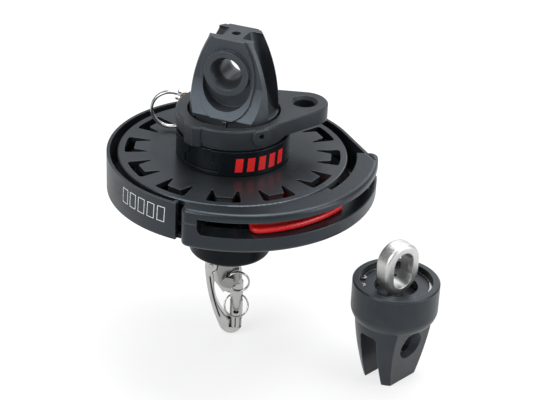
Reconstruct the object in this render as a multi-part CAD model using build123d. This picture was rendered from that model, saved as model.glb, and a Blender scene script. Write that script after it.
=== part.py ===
from build123d import *
import math
import os

# Spinnaker furler: furling drum with its line guard, tack swivel ring, cable thimble
# and snap shackle, and the separate head swivel that belongs to it. Millimetres.
# The origin is the centre of the clevis pin, on the spin axis; +Z is up, +X is the
# side that the tack arm points to, and -Y is the front, where the line enters.

# Fits and clearances
RUN_FIT = 0.05            # radial play of turning and sliding fits
FREE_GAP = 0.3            # space between pieces that pass each other

# Heights on the spin axis
HUB_BOTTOM = 19.0         # lower hub's underside above the clevis pin
HUB_FLOOR = 8.0           # thickness of the lower hub's floor
GUARD_BOTTOM = 67.0       # lower edge of the band and of the feeder
GUARD_HEIGHT = 25.5       # height of the band
PLATE_RAISE = 0.5         # guard plate above the band's lower edge
PLATE_THICK = 2.5
PLATE_TO_DRUM = 0.8       # running gap above the guard plate
FLANGE_THICK = 3.2        # lower flange
GROOVE_WIDTH = 14.0       # between the flanges
TOP_FLANGE_THICK = 4.0
BARREL_HEIGHT = 17.5      # hub barrel above the upper flange
RING_GAP = 0.5            # shadow gap under the tack ring
RING_THICK = 13.0         # tack ring at its lug
TOWER_HEIGHT = 52.0       # cable thimble above the tack ring's top

# Drum
DRUM_RADIUS = 75.0
CORE_RADIUS = 45.0
CORE_WAIST = 2.0          # how much slimmer it is half way up
BARREL_RADIUS = 34.5
RIM_EDGE = 1.0
WINDOWS = 12
WINDOW_RIM = 4.6          # windows' outer arc inside the drum's rim
WINDOW_ARC = 9.3          # half angle of a window at its outer arc
WINDOW_SLOT = 6.1         # width of the window's cross slot
PRONG_LENGTH = 15.2       # from the windows' outer arc to the prongs' tips
PRONG_ARC = 9.0           # half angle to the outside of the prong tips
PRONG_TIP_ARC = 1.3       # width of a prong's tip
PRONG_ROUND = 0.5
TONGUE_ARC = 4.5          # half angle of the tongue between the prongs
TONGUE_ROUND = 1.0
WINDOW_CORNER = 2.0
WINDOW_PHASE = -2.5
SLEEVE_RADIUS = 17.0      # drum hub sleeve inside the core
SLEEVE_FLANGE = 26.0      # its foot, under the lower flange's screws
SPIGOT_RADIUS = 13.0      # its lower end, inside the radial bearing
SPIGOT_SHOULDER = 15.4
SPIGOT_TAIL = 1.0         # below the inner race

SCREWS = 6                # on each circle of screws
SCREW_PITCH = 21.0        # circle of the thimble screws
THIMBLE_SCREW_PHASE = 15.0
THIMBLE_THREAD = 8.0      # into the thimble's foot
DRUM_SCREW_PITCH = 38.0
DRUM_SCREW_PHASE = 30.0
DRUM_THREAD = 3.0         # into the upper flange
CORE_LIGHTENING = 4.5
CORE_HOLE_PITCH = 34.5

# Hub collar
COLLAR_WALL = 2.5
COLLAR_FOOT = 0.6         # collar's lower edge above the upper flange
COLLAR_HEIGHT = 16.6
TAB_FOOT = 2.6            # T joint's lower edge above the collar's
TAB_ANGLE = -123.5        # where the collar's T joint is
TAB_HEAD_ARC = 20.5       # half angle of the T's wide part
TAB_NECK_ARC = 13.0       # half angle of its upper part
TAB_HEAD_HEIGHT = 5.5
TAB_SINK = 0.6            # tab's face behind the collar's face
TAB_GAP = 0.6             # joint line round it, in degrees

# Shaft and load bearing
SHAFT_RADIUS = 7.0
SHAFT_BORE_GAP = 1.4      # drum sleeve clear of the shaft
FORK_WIDTH = 14.0
FORK_LEG = 4.8
FORK_GAP = 9.4            # between the fork's legs
FORK_ROOT = 4.0           # solid above the fork's slot
PIN_RADIUS = 4.0
PIN_HEAD_RADIUS = 5.6
PIN_HEAD = 2.4
PIN_TAIL = 5.0            # pin's end beyond the fork, with the ring's hole
RING_HOLE = 1.6           # holes for the small rings
LOCKNUT_ACROSS = 20.0
LOCKNUT_HEIGHT = 5.0
RELIEF_WIDTH = 1.0        # thread relief above the locknut
RELIEF_DEPTH = 0.6
KEY_WIDTH = 3.0
KEY_DEPTH = 3.2
KEY_INSET = 0.5           # key's ends inside the hub's floor
RACE_THICK = 3.0
RACE_INNER = 8.6
RACE_OUTER = 17.8
BALL = 2.5                # radius of every ball
THRUST_PITCH = 13.2       # radius of the ring of balls
THRUST_BALLS = 12
GROOVE_DEPTH = 0.8
CAGE_THICK = 1.2
CAGE_SIDE = 0.8           # cages inside the races' edges
NUT_ACROSS = 24.0
NUT_HEIGHT = 7.0
NUT_CORNER = 0.58         # radius over a nut's corners as a share of its width
NUT_CHAMFER = 1.2
SLOT_BELOW_TOP = 2.2      # split pin below the nut's upper face
SPLIT_PIN_RADIUS = 1.0
SPLIT_PIN_HEAD = 1.5      # radius of its eye
SPLIT_PIN_REACH = 1.8     # its ends beyond the nut
SHAFT_STUB = 2.5          # thread above the nut
CAVITY_ROOM = 2.0         # room above the shaft's end
RACE_RAISE = 5.0          # lower race above the upper flange

# Radial bearing in the lower hub
RADIAL_PITCH = 17.4
RADIAL_BALLS = 14
RADIAL_HEIGHT = 10.0
RADIAL_BOTTOM = 11.0      # above the hub's floor
RADIAL_INNER_WALL = 2.6
RADIAL_OUTER_WALL = 2.8
RADIAL_CAGE = 3.6         # half height of its cage
HUB_RADIUS = 27.5
HUB_CAVITY = 22.0
HUB_LEDGE = 1.8           # step that carries the outer race
HUB_FILLET = 3.5
HUB_FLANGE = 34.0
HUB_FLANGE_THICK = 4.0
HUB_FLARE = 3.0           # height of the slope under it
HUB_SCREW_PITCH = 29.0
HUB_THREAD = 7.5
JOURNAL_LOW = 22.0        # bush in the sleeve, above the hub's floor
JOURNAL_HEIGHT = 16.0

# Line guard
BAND_CLEAR = 5.0          # between the drum's rim and the band
BAND_THICK = 2.0
BAND_END = -113.0         # free end of the band
BAND_LEAVE = 25.0         # where the band leaves the circle
BAND_LIP = 4.0            # its end is turned in
BAND_LIP_ARC = 1.6
BAND_RUN = 45.0           # straight run to the feeder
LUG_ANGLES = [35.0, 75.0, 115.0, 155.0]
FEED_FRONT = 15.5         # feeder's front arc outside the drum's radius
FEED_CENTRE = (4.5, 1.0)  # its centre, beside the spin axis
FEED_START = -109.5
FEED_END = 3.5
FEED_HEIGHT = 26.0
FEED_SPLIT = 17.0         # joint of the two halves above the lower edge
FEED_CLEAR = 2.5          # between the drum and the feeder's inner face
FEED_CLEAR_RIGHT = 6.0    # and where the band runs into it
FEED_WIDEN = -38.0        # where that starts
FEED_CORNER = 5.0
FEED_OVER = 5.0           # how far a cut runs past the feeder's end, in degrees
FEED_ROUND = 2.6          # rounding of its long outer edges
FEED_COVER = 4.0          # left above the long screws
FEED_SKIN = 0.8           # and above the short ones
EAR_INSET = 3.0           # guard plate's ear inside the feeder's edge
EAR_OVERLAP = 4.5         # ear's root past the feeder's inner face
EAR_CORNER = 12.0         # its right end, in degrees
POST_SPOTS = [(8.5, -105.5), (13.0, -5.0)]  # long screws: outside the drum's radius, and angle
EAR_SPOTS = [(9.0, -78.0), (9.5, -45.0)]    # short screws
SLOT_LOW = 10.3           # slot above the feeder's lower edge
SLOT_HIGH = 21.0
SLOT_START = -102.0
SLOT_END = -11.0
SLOT_DEPTH = 4.5          # its shallow end round the right corner
SLOT_ROUND = 4.0
GUIDE_THICK = 4.0
GUIDE_NOSE = 1.6          # rounding of its outer edge
GUIDE_REACH = 10.5        # its outer edge outside the drum's radius
GUIDE_CLEAR = 3.0         # and its inner edge outside the core
GUIDE_START = -80.0
GUIDE_END = -30.0
GUIDE_LIP_INSET = 5.9     # its lip inside its outer edge
GUIDE_LIP_WALL = 1.8
GUIDE_LIP_START = -43.0
GUIDE_LIP_HEIGHT = 10.4
GUIDE_LIP_ARC = 1.0       # its end inside the guide's end
GUIDE_CORNER = 6.0
LUG_ARC = 3.5             # half angle of a guard plate lug
LUG_WALL = 3.2
LUG_HEIGHT = 9.0
EAR_ROOT = 14.0           # plate's ear starts this far inside its rim

# Tack ring
RING_RADIUS = 34.0
RING_BACK_RADIUS = 36.5
RING_BACK_CENTRE = (-1.0, 1.0)
ARM_REACH = 47.5          # axis to arm hole
ARM_ANGLE = 17.7
ARM_END = 15.5
ARM_THICK = 10.5
ARM_HOLE = 7.0
ARM_MOUTH = 2.0           # countersink of the hole
RING_SKIRT = 35.2
RING_MOUTH = 30.2         # opening round the tower's foot
RING_BORE = 26.0
RING_LIP = 4.5            # height of the lip that the tower's foot holds down
NECK_RADIUS = 24.5
RING_CHAMFER = 0.8
RING_LUG = [(-31.5, -16.0), (-30.0, -26.0), (-25.5, -30.8), (-20.5, -31.8), (-16.0, -29.0), (-10.0, -15.0)]
BOSS_ANGLE = -59.0
BOSS_RADIUS = 6.0
BOSS_FACE = 36.6
BOSS_HEIGHT = 8.5         # above the ring's underside
GRUB_SINK = 0.8           # grub screw inside the boss's face
LOCK_RADIUS = 3.0
LOCK_RAISE = 8.5          # lock pin above the tack ring's underside
LOCK_BUSH = 4.2
LOCK_BUSH_END = 39.0
LOCK_BUSH_STEP = 1.5      # length of the bush's narrower end
LOCK_BUSH_NARROW = 0.5
LOCK_STEM = 4.5           # from the pin's axis to the middle of its eye
LOCK_NECK = 2.0
LOCK_EYE = 3.2
LOCK_EYE_WIRE = 0.9
NOTCH_DEPTH = 2.0
PULL_X = -42.6            # centre of the pull ring
PULL_Y = 27.5
PULL_DROP = 11.5          # below the lock pin
PULL_RING_RADIUS = 12.6
PULL_WIRE = 1.0

# Cable thimble
THIMBLE_TURN = 21.0       # its face turned this far to the left of the front
THIMBLE_FOOT = 28.5
THIMBLE_MID = 24.8
THIMBLE_TOP = 16.6
FACE_TOP = 12.6           # half thickness at the top
FACE_MID = 13.0
FACE_LOW = 21.5
FLARE_DROP = 8.0          # flare's start below the eye
FLARE_SAG = 3.2           # half thickness gained half way down it
FLARE_RAISE = 1.0         # flare's lower end above the ring
FOOT_THICK = 3.4
SHIELD_STEP = 1.4         # raised faces stand this far out
SHIELD_DROP = 0.7         # their lower edge below the ring's top
SHIELD_RADIUS = 17.6
SHIELD_UPPER = 17.2       # half width a little above the eye
SHIELD_UPPER_RISE = 6.0   # how far above it
SHIELD_TOP = 9.2          # and at the top
EYE_DROP = 22.0           # eye's centre below the tower's top
EYE_BORE = 7.5
EYE_MOUTH = 11.0
EYE_BOSS = 15.0
BOSS_STAND = 15.4         # half length of the eye's boss
EYE_BELL = 8.5            # depth of the eye's rounded mouths
EYE_SAG = 1.0             # their width half way down
POCKET_RADIUS = 16.5
POCKET_DROP = 8.0
POCKET_FLOOR = 9.8
ROPE_WIDTH = 17.5
WEB_TOP = 6.3
WEB_ABOVE = 10.5          # half width between the rope grooves, above the eye
WEB_RISE = 4.0            # how far above
WEB_BELOW = 12.5          # and below the eye
WEB_DROP = 9.0
WEB_KNEE = 17.5           # and where their floors turn outwards
WEB_KNEE_DROP = 21.5
WEB_FOOT = 23.5
ROPE_RAISE = 1.5          # their lower ends above the ring
ROPE_ROUND = 4.8
TOP_HOLE_DEPTH = 12.0
TOP_HOLE = 3.0

# Screws
M4_RADIUS = 2.0
M4_HEAD = 3.8
M4_HEAD_HEIGHT = 2.2
M3_RADIUS = 1.5
M3_HEAD = 2.8
M3_HEAD_HEIGHT = 3.0      # cap head
BAND_HEAD_HEIGHT = 1.6    # countersunk head in the band
SCREW_SHORT = 0.4         # screw ends short of a lug's inner face
SOCKET_SHARE = 0.5        # socket's half width as a share of the head's radius
SOCKET_DEPTH = 0.65       # and its depth as a share of the head's height

# Snap shackle, in its own plane
SHACKLE_HALF = 3.8        # half thickness
EYE_HALF = 4.4            # half thickness at the eye
EYE_RADIUS = 6.8
HINGE_X = -12.2
HINGE_Z = 6.0
HINGE_RADIUS = 4.2
HINGE_TONGUE = 1.9        # half thickness of the body's tongue in the gate's ears
HINGE_ROOM = 0.6          # room round the body's tongue and round the gate's ears
HINGE_PIN = 1.5
PIN_STAND = 0.4           # its ends beyond the gate's ears
WEB_END = (1.1, -13.4)    # lower end of the diagonal web's centre line
WEB_WIDTH = 8.0
STEM_START = (5.2, 0.0)   # upper end of the stem's centre line
STEM_LOW = -14.0
STEM_WIDTH = 7.4
HOUSING_X = 5.7
HOUSING_RADIUS = 4.4
HOUSING_TOP = -6.5
HOUSING_BOTTOM = -35.8    # top of the slot between its jaws
JAW_BOTTOM = -41.5
JAW_GAP = 4.6
JAW_SLOTS = [-0.3, 3.0]   # slots in each jaw, beside the housing's axis
JAW_SLOT_WIDTH = 0.8
JAW_SLOT_TOP = -33.0
SIGHT_LEVEL = -29.0       # sight slot in the housing's front
SIGHT_WIDTH = 3.8
SIGHT_HEIGHT = 2.6
CHAMBER_TOP = -8.6
CHAMBER_FLOOR = 2.5       # thickness of the floor that the plunger's tip passes
NOSE_TOP = -36.3
NOSE_HALF = 2.0
HOUSING_REACH = 20.0      # beyond the shackle's right side
SHACKLE_HEAD = 20.0       # above and below the whole shackle
SHACKLE_FOOT = -60.0
GATE_EDGE = 0.5           # gate inside the housing's right side
PLUNGER_RADIUS = 2.7
PLUNGER_TIP = 1.5
TIP_ROOM = 0.25           # round the tip in the gate's nose
TIP_DEEPER = 0.6          # its hole there is deeper than the travel
PLUNGER_TOP = -13.1
PLUNGER_PIVOT = -16.7     # hole for its ring
PLUNGER_TRAVEL = 2.2
PLUNGER_SPARE = 0.2       # above the floor at the end of the travel
RING_SLOT_FRONT = 2.7     # slot across the housing for the plunger's ring
RING_SLOT_BACK = 1.8
RING_SLOT_SIDE = 4.5      # cut into the web beside it
RING_SLOT_DROP = 5.0
RING_SLOT_RISE = 3.6
GATE_ROUND = 1.5
SPRING_WIRE = 0.35
SPRING_RADIUS = 2.0
SPRING_TURNS = 3
SMALL_RING = 7.3          # clevis ring
SMALL_WIRE = 0.6
TURNS_APART = 0.8         # half distance of a ring's two turns, as a share of the wire
PLUNGER_RING = 8.0
RING_TILT = 32.0          # plunger ring leans on the housing
GATE_OUTER = (-14.2, -12.0)            # points of the gate's outer curve
GATE_HEEL = (-5.2, -42.0)
GATE_TOE = -42.0                       # height of its right end
GATE_BOW = (-6.0, -26.0)               # points of its inner curve
GATE_WAIST = (-9.6, -6.0)
GATE_NOSE = 1.6                        # left end of the nose

# Head swivel
HEAD_X = 110.0
HEAD_Y = -41.0
HEAD_RIM = 24.6
HEAD_RADIUS = 28.7
HEAD_BOTTOM = -47.4
HEAD_SKIRT = 20.0         # straight part under the rim
HEAD_SHOULDER = 7.0       # height of the rounded shoulder below it
HEAD_SHOULDER_SAG = 0.9   # its bulge
HEAD_LEG_TOP = 25.6       # envelope of the legs under the shoulder
HEAD_TURN = 46.0          # leg face turned this far to the right of the front
HEAD_FACE_TOP = 19.0
HEAD_FACE_LOW = 12.0
HEAD_LEG_RADIUS = 17.0    # envelope at the legs' lower end
HEAD_MID_RADIUS = 22.6
HEAD_SLOT = 7.0           # half width of the fork's slot
HEAD_SLOT_DROP = 33.0     # slot's root below the rim
HEAD_SLOT_ROUND = 3.2
HEAD_EYE_DROP = 44.0      # cable eye below the rim
HEAD_EYE_BORE = 6.5
HEAD_EYE_MOUTH = 11.0
HEAD_MOUTH_START = 11.0   # from the middle of the slot
HEAD_MOUTH_DEPTH = 7.0
HEAD_CAVITY = 24.0
HEAD_FLOOR_DROP = 20.0
HEAD_PITCH = 18.4
HEAD_BALLS = 16
HEAD_FLANGE = 22.5        # stem's flange, under the balls
FLANGE_DROP = 15.5        # its upper face below the rim
STEM_FLANGE_THICK = 3.0
COVER_DROP = 4.5
COVER_THICK = 2.0
CIRCLIP_THICK = 1.2
CIRCLIP_INNER = 21.8
CIRCLIP_GROOVE = 0.8      # depth of its groove in the housing
CIRCLIP_GAP = 14.0        # angle of its gap to one side of the left
CIRCLIP_UNEVEN = 0.2      # and to the other side, as a share
CIRCLIP_EAR = 2.4         # radius of its ears
CIRCLIP_HOLE = 0.9
CIRCLIP_EAR_OUT = 0.6     # ears' centres outside its inner edge
CIRCLIP_EAR_ARC = 4.0     # and back from the gap, in degrees
STEM_RADIUS = 14.0
STUD_RADIUS = 5.0
STUD_SINK = 0.5           # stud ends short of the flange's underside
STUD_ROOT = 4.0           # and reaches this far into the link
LINK_WIDTH = 28.0
LINK_HEIGHT = 35.5
LINK_THICK = 12.0
LINK_TOP = 27.5           # above the rim
LINK_BORE = 8.0
LINK_TURN = 38.0
LINK_ROUND = 2.5
LINK_HOLE_LONG = 9.5      # between the centres of the eye's round ends
LINK_HOLE_DROP = 5.6      # eye's upper edge below the link's top
NECK_TOP = -10.5

# Radii and levels that follow
collar_radius = BARREL_RADIUS + COLLAR_WALL
window_outer = DRUM_RADIUS - WINDOW_RIM
window_slot = window_outer - WINDOW_SLOT
prong_tip = window_outer - PRONG_LENGTH
band_inner = DRUM_RADIUS + BAND_CLEAR
band_outer = band_inner + BAND_THICK
feed_arc = DRUM_RADIUS + FEED_FRONT
feed_inner = DRUM_RADIUS + FEED_CLEAR
feed_inner_right = DRUM_RADIUS + FEED_CLEAR_RIGHT
beyond_feeder = feed_arc + FEED_FRONT
guide_outer = DRUM_RADIUS + GUIDE_REACH
guide_inner = CORE_RADIUS + GUIDE_CLEAR
guide_lip = guide_outer - GUIDE_LIP_INSET
plate_low = GUARD_BOTTOM + PLATE_RAISE
plate_top = plate_low + PLATE_THICK
flange_low = plate_top + PLATE_TO_DRUM
groove_low = flange_low + FLANGE_THICK
groove_top = groove_low + GROOVE_WIDTH
drum_top = groove_top + TOP_FLANGE_THICK
barrel_top = drum_top + BARREL_HEIGHT
ring_low = barrel_top + RING_GAP
ring_top = ring_low + RING_THICK
foot_low = ring_low + RING_LIP + FREE_GAP
foot_top = foot_low + FOOT_THICK
tower_top = ring_top + TOWER_HEIGHT
hub_floor_top = HUB_BOTTOM + HUB_FLOOR
hub_top = plate_low
race_low = drum_top + RACE_RAISE
ball_level = race_low + RACE_THICK + BALL - GROOVE_DEPTH
race_high = ball_level + BALL - GROOVE_DEPTH
nut_low = race_high + RACE_THICK
split_level = nut_low + NUT_HEIGHT - SLOT_BELOW_TOP
clevis_ring_y = -(FORK_GAP / 2 + FORK_LEG + PIN_TAIL / 2)
eye_level = tower_top - EYE_DROP
radial_low = hub_floor_top + RADIAL_BOTTOM
radial_top = radial_low + RADIAL_HEIGHT
radial_level = radial_low + RADIAL_HEIGHT / 2
collar_low = drum_top + COLLAR_FOOT
collar_top = collar_low + COLLAR_HEIGHT
lock_level = ring_low + LOCK_RAISE
pull_level = lock_level - PULL_DROP
eye_x = PULL_X + math.sqrt(PULL_RING_RADIUS ** 2 - PULL_DROP ** 2)
lock_angle = math.degrees(math.atan2(PULL_Y - LOCK_STEM, eye_x))
lock_reach = math.hypot(PULL_Y - LOCK_STEM, eye_x)
cavity_top = nut_low + NUT_HEIGHT + SHAFT_STUB + CAVITY_ROOM

ON_FLOOR = (Align.CENTER, Align.CENTER, Align.MIN)
NEAR = 0.01               # tolerance for picking edges by their place
os.makedirs("parts", exist_ok=True)


def disc(radius, low, high, x=0.0, y=0.0):
    """Return an upright cylinder between two heights."""
    return Pos(x, y, low) * Cylinder(radius, high - low, align=ON_FLOOR)


def tube(inner, outer, low, high, x=0.0, y=0.0):
    """Return an upright ring of rectangular section."""
    return disc(outer, low, high, x, y) - disc(inner, low - 1, high + 1, x, y)


def box(x0, x1, y0, y1, z0, z1):
    """Return a box between two corners."""
    return Pos((x0 + x1) / 2, (y0 + y1) / 2, (z0 + z1) / 2) * Box(x1 - x0, y1 - y0, z1 - z0)


def polar(radius, angle):
    """Return the plan point at a radius and an angle in degrees."""
    return (radius * math.cos(math.radians(angle)), radius * math.sin(math.radians(angle)))


def sector(inner, outer, start, end):
    """Return the plan face between two radii and two angles."""
    middle = (start + end) / 2
    outline = [
        Line(polar(inner, start), polar(outer, start)),
        ThreePointArc(polar(outer, start), polar(outer, middle), polar(outer, end)),
        Line(polar(outer, end), polar(inner, end)),
        ThreePointArc(polar(inner, end), polar(inner, middle), polar(inner, start)),
    ]
    return make_face(Curve() + outline)


def raised(face, low, high):
    """Return a plan face extruded between two heights."""
    return extrude(Pos(0, 0, low) * face, high - low)


def turned(points):
    """Return the solid that a closed radius and height outline makes about the spin axis."""
    return revolve(make_face(Plane.XZ * Polyline(*points, close=True)), Axis.Z)


def slab(x0, z0, x1, z1, width, half):
    """Return a round-ended bar in the shackle's plane, between two points."""
    length = math.hypot(x1 - x0, z1 - z0)
    angle = math.degrees(math.atan2(z1 - z0, x1 - x0))
    plan = SlotCenterToCenter(length, width)
    placed = Plane.XZ * Pos((x0 + x1) / 2, (z0 + z1) / 2) * Rot(0, 0, angle) * plan
    return extrude(placed, half, both=True)


def cross_bar(radius, x, z, y0, y1):
    """Return a cylinder that runs front to back."""
    bar = Cylinder(radius, y1 - y0)
    return Pos(x, (y0 + y1) / 2, z) * Rot(90, 0, 0) * bar


def split_ring(radius, wire):
    """Return a wire ring of two close turns in the XZ plane, about the origin."""
    front = Rot(90, 0, 0) * Torus(radius, wire)
    apart = wire * TURNS_APART
    return Pos(0, -apart, 0) * front + Pos(0, apart, 0) * front


def around(solid, count, first=0.0):
    """Return copies of a solid spread evenly about the spin axis."""
    step = 360.0 / count
    return [Rot(0, 0, first + step * i) * solid for i in range(count)]


def at_polar(solid, radius, angle):
    """Return a solid moved from the axis to a plan point."""
    x, y = polar(radius, angle)
    return Pos(x, y, 0) * solid


def flat_screw(radius, head, head_height, top, length, socket):
    """Return a countersunk screw whose head face is at a height, pointing up."""
    screw = disc(radius, top, top + length)
    screw += Pos(0, 0, top) * Cone(head, radius, head_height, align=ON_FLOOR)
    if socket:
        screw -= raised(RegularPolygon(head * SOCKET_SHARE, 6), top, top + head_height * SOCKET_DEPTH)
    return screw


def hex_nut(across, bore, low, high):
    """Return a hexagonal nut with chamfered corners."""
    nut = raised(RegularPolygon(across / 2, 6, major_radius=False, rotation=30), low, high)
    corner = across * NUT_CORNER
    crown = turned([(0, low), (corner - NUT_CHAMFER, low), (corner, low + NUT_CHAMFER),
                    (corner, high - NUT_CHAMFER), (corner - NUT_CHAMFER, high), (0, high)])
    return (nut & crown) - disc(bore, low - 1, high + 1)


def cap_screw(radius, head, low, head_top, top, socket):
    """Return a cap screw that points up, with its head below."""
    screw = disc(head, low, head_top) + disc(radius, head_top, top)
    if socket:
        screw -= raised(RegularPolygon(head * SOCKET_SHARE, 6), low, low + (head_top - low) * SOCKET_DEPTH)
    return screw


def save(name, solids):
    """Write one node from a solid or from a list of separate solids."""
    shape = Compound(children=list(solids)) if isinstance(solids, list) else solids
    export_step(shape, "parts/" + name + ".step")


# Drum
def window():
    """Return one window of a flange: a cross slot with two prongs beside a tongue."""
    corner_a = polar(window_outer, -WINDOW_ARC)
    corner_b = polar(window_outer, WINDOW_ARC)
    inner_arc = PRONG_ARC - PRONG_TIP_ARC
    outline = [
        ThreePointArc(corner_a, polar(window_outer, 0), corner_b),
        Polyline(corner_b, polar(prong_tip, PRONG_ARC), polar(prong_tip, inner_arc),
                 polar(window_slot, TONGUE_ARC), polar(window_slot, -TONGUE_ARC),
                 polar(prong_tip, -inner_arc), polar(prong_tip, -PRONG_ARC), corner_a),
    ]
    face = make_face(Curve() + outline)
    outer_corners = [v for v in face.vertices() if v.X > window_slot + WINDOW_CORNER]
    face = fillet(outer_corners, WINDOW_CORNER)
    face = fillet([v for v in face.vertices() if v.X < prong_tip + PRONG_ROUND], PRONG_ROUND)
    tongue = [v for v in face.vertices() if abs(math.hypot(v.X, v.Y) - window_slot) < NEAR]
    return fillet(tongue, TONGUE_ROUND)


def flange_windows(low, high):
    return around(raised(window_face, low - 1, high + 1), WINDOWS, WINDOW_PHASE)


window_face = window()


def upper_flange():
    """The top flange of the line groove."""
    body = tube(SLEEVE_RADIUS, DRUM_RADIUS, groove_top, drum_top)
    rim = body.edges().filter_by(GeomType.CIRCLE).filter_by(lambda e: abs(e.radius - DRUM_RADIUS) < NEAR)
    body = fillet(rim, RIM_EDGE)
    return body - flange_windows(groove_top, drum_top) - thimble_screws() - drum_screws()


def hub_barrel():
    """The barrel on the upper flange, with the neck that carries the tack ring."""
    outline = [(SLEEVE_RADIUS, drum_top), (BARREL_RADIUS, drum_top), (BARREL_RADIUS, barrel_top),
               (NECK_RADIUS, barrel_top), (NECK_RADIUS, foot_low), (RACE_OUTER + RUN_FIT, foot_low),
               (RACE_OUTER + RUN_FIT, race_low), (SLEEVE_RADIUS, race_low)]
    return turned(outline) - thimble_screws()


def lower_flange():
    """The bottom flange of the line groove."""
    body = tube(SLEEVE_FLANGE, DRUM_RADIUS, flange_low, groove_low)
    return body - flange_windows(flange_low, groove_low) - drum_screws()


def drum_core():
    """The waisted core that the line grips, between the flanges."""
    middle = (groove_low + groove_top) / 2
    waist = CORE_RADIUS - CORE_WAIST
    outline = [
        Polyline((CORE_RADIUS, groove_low), (SLEEVE_RADIUS, groove_low), (SLEEVE_RADIUS, groove_top),
                 (CORE_RADIUS, groove_top)),
        ThreePointArc((CORE_RADIUS, groove_top), (waist, middle), (CORE_RADIUS, groove_low)),
    ]
    body = revolve(make_face(Plane.XZ * (Curve() + outline)), Axis.Z)
    holes = around(at_polar(disc(CORE_LIGHTENING, groove_low - 1, groove_top + 1), CORE_HOLE_PITCH, 0), 6)
    return body - holes - thimble_screws() - drum_screws()


def drum_sleeve():
    """The sleeve that carries the load race, the core and the radial bearing."""
    bore = SHAFT_RADIUS + SHAFT_BORE_GAP
    low = radial_low - SPIGOT_TAIL
    outline = [(bore, low), (SPIGOT_RADIUS, low), (SPIGOT_RADIUS, radial_top), (SPIGOT_SHOULDER, radial_top),
               (SPIGOT_SHOULDER, flange_low), (SLEEVE_FLANGE, flange_low), (SLEEVE_FLANGE, groove_low),
               (SLEEVE_RADIUS, groove_low), (SLEEVE_RADIUS, race_low), (bore, race_low)]
    return turned(outline) - thimble_screws()


def thimble_screws(socket=False):
    """Six long screws that clamp the thimble, the drum and its sleeve together."""
    head_top = flange_low + M3_HEAD_HEIGHT
    one = cap_screw(M3_RADIUS, M3_HEAD, flange_low, head_top, foot_low + THIMBLE_THREAD, socket)
    return around(at_polar(one, SCREW_PITCH, 0), SCREWS, THIMBLE_SCREW_PHASE)


def drum_screws(socket=False):
    """Six countersunk screws through the lower flange and the core into the upper flange."""
    length = groove_top + DRUM_THREAD - flange_low
    one = flat_screw(M4_RADIUS, M4_HEAD, M4_HEAD_HEIGHT, flange_low, length, socket)
    return around(at_polar(one, DRUM_SCREW_PITCH, 0), SCREWS, DRUM_SCREW_PHASE)


def tab_outline(spread):
    """Return the collar joint's T between the collar's two faces, grown by a gap on each side."""
    inner = BARREL_RADIUS
    outer = collar_radius + 1
    gap = math.radians(spread) * collar_radius
    low = collar_low + TAB_FOOT - gap
    wide = TAB_HEAD_ARC + spread
    neck = TAB_NECK_ARC + spread
    step = collar_low + TAB_FOOT + TAB_HEAD_HEIGHT + gap
    head = raised(sector(inner, outer, TAB_ANGLE - wide, TAB_ANGLE + wide), low, step)
    stem = raised(sector(inner, outer, TAB_ANGLE - neck, TAB_ANGLE + neck), step, collar_top + 1)
    return head + stem


def collar_blank(outer):
    """Return the collar as a whole ring."""
    return tube(BARREL_RADIUS, outer, collar_low, collar_top)


def hub_collar():
    """The split collar round the barrel, with the gap for its joint piece."""
    return collar_blank(collar_radius) - tab_outline(TAB_GAP)


def collar_tab():
    """The T-shaped piece that closes the collar."""
    return collar_blank(collar_radius - TAB_SINK) & tab_outline(0.0)


def race(inner, outer, low, high, pitch, level):
    """Return a bearing race with its ball groove."""
    groove = Pos(0, 0, level) * Torus(pitch, BALL + RUN_FIT)
    return tube(inner, outer, low, high) - groove


def ball_ring(pitch, count, level):
    return around(Pos(pitch, 0, level) * Sphere(BALL), count)


def flat_cage(inner, outer, pitch, count, level):
    """Return the flat ring that spaces the balls of a thrust bearing."""
    low = level - CAGE_THICK / 2
    high = level + CAGE_THICK / 2
    pocket = at_polar(disc(BALL + RUN_FIT, low - 1, high + 1), pitch, 0)
    return tube(inner, outer, low, high) - around(pocket, count)


def radial_cage():
    """The ring that spaces the radial bearing's balls."""
    low = radial_level - RADIAL_CAGE
    high = radial_level + RADIAL_CAGE
    body = tube(RADIAL_PITCH - CAGE_THICK, RADIAL_PITCH + CAGE_THICK, low, high)
    pocket = radial_bar(BALL + RUN_FIT, RADIAL_PITCH - BALL, RADIAL_PITCH + BALL, 0, radial_level)
    return body - around(pocket, RADIAL_BALLS)


def thimble_side(inset):
    """Return the tower's side outline, flared over its foot, with its two faces set in."""
    low = FACE_LOW - inset
    middle = FACE_MID - inset
    top = FACE_TOP - inset
    flare = eye_level - FLARE_DROP
    face_low = ring_top + FLARE_RAISE
    waist = (middle + FLARE_SAG, (face_low + flare) / 2 + FLARE_RAISE)
    foot = THIMBLE_FOOT + 1
    side = [
        Polyline((-low, face_low), (-low, foot_top), (-foot, foot_top), (-foot, foot_low), (foot, foot_low),
                 (foot, foot_top), (low, foot_top), (low, face_low)),
        ThreePointArc((low, face_low), waist, (middle, flare)),
        Polyline((middle, flare), (top, tower_top), (-top, tower_top), (-middle, flare)),
        ThreePointArc((-middle, flare), (-waist[0], waist[1]), (-low, face_low)),
    ]
    return extrude(Plane.YZ * make_face(Curve() + side), THIMBLE_FOOT + 1, both=True)


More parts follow.
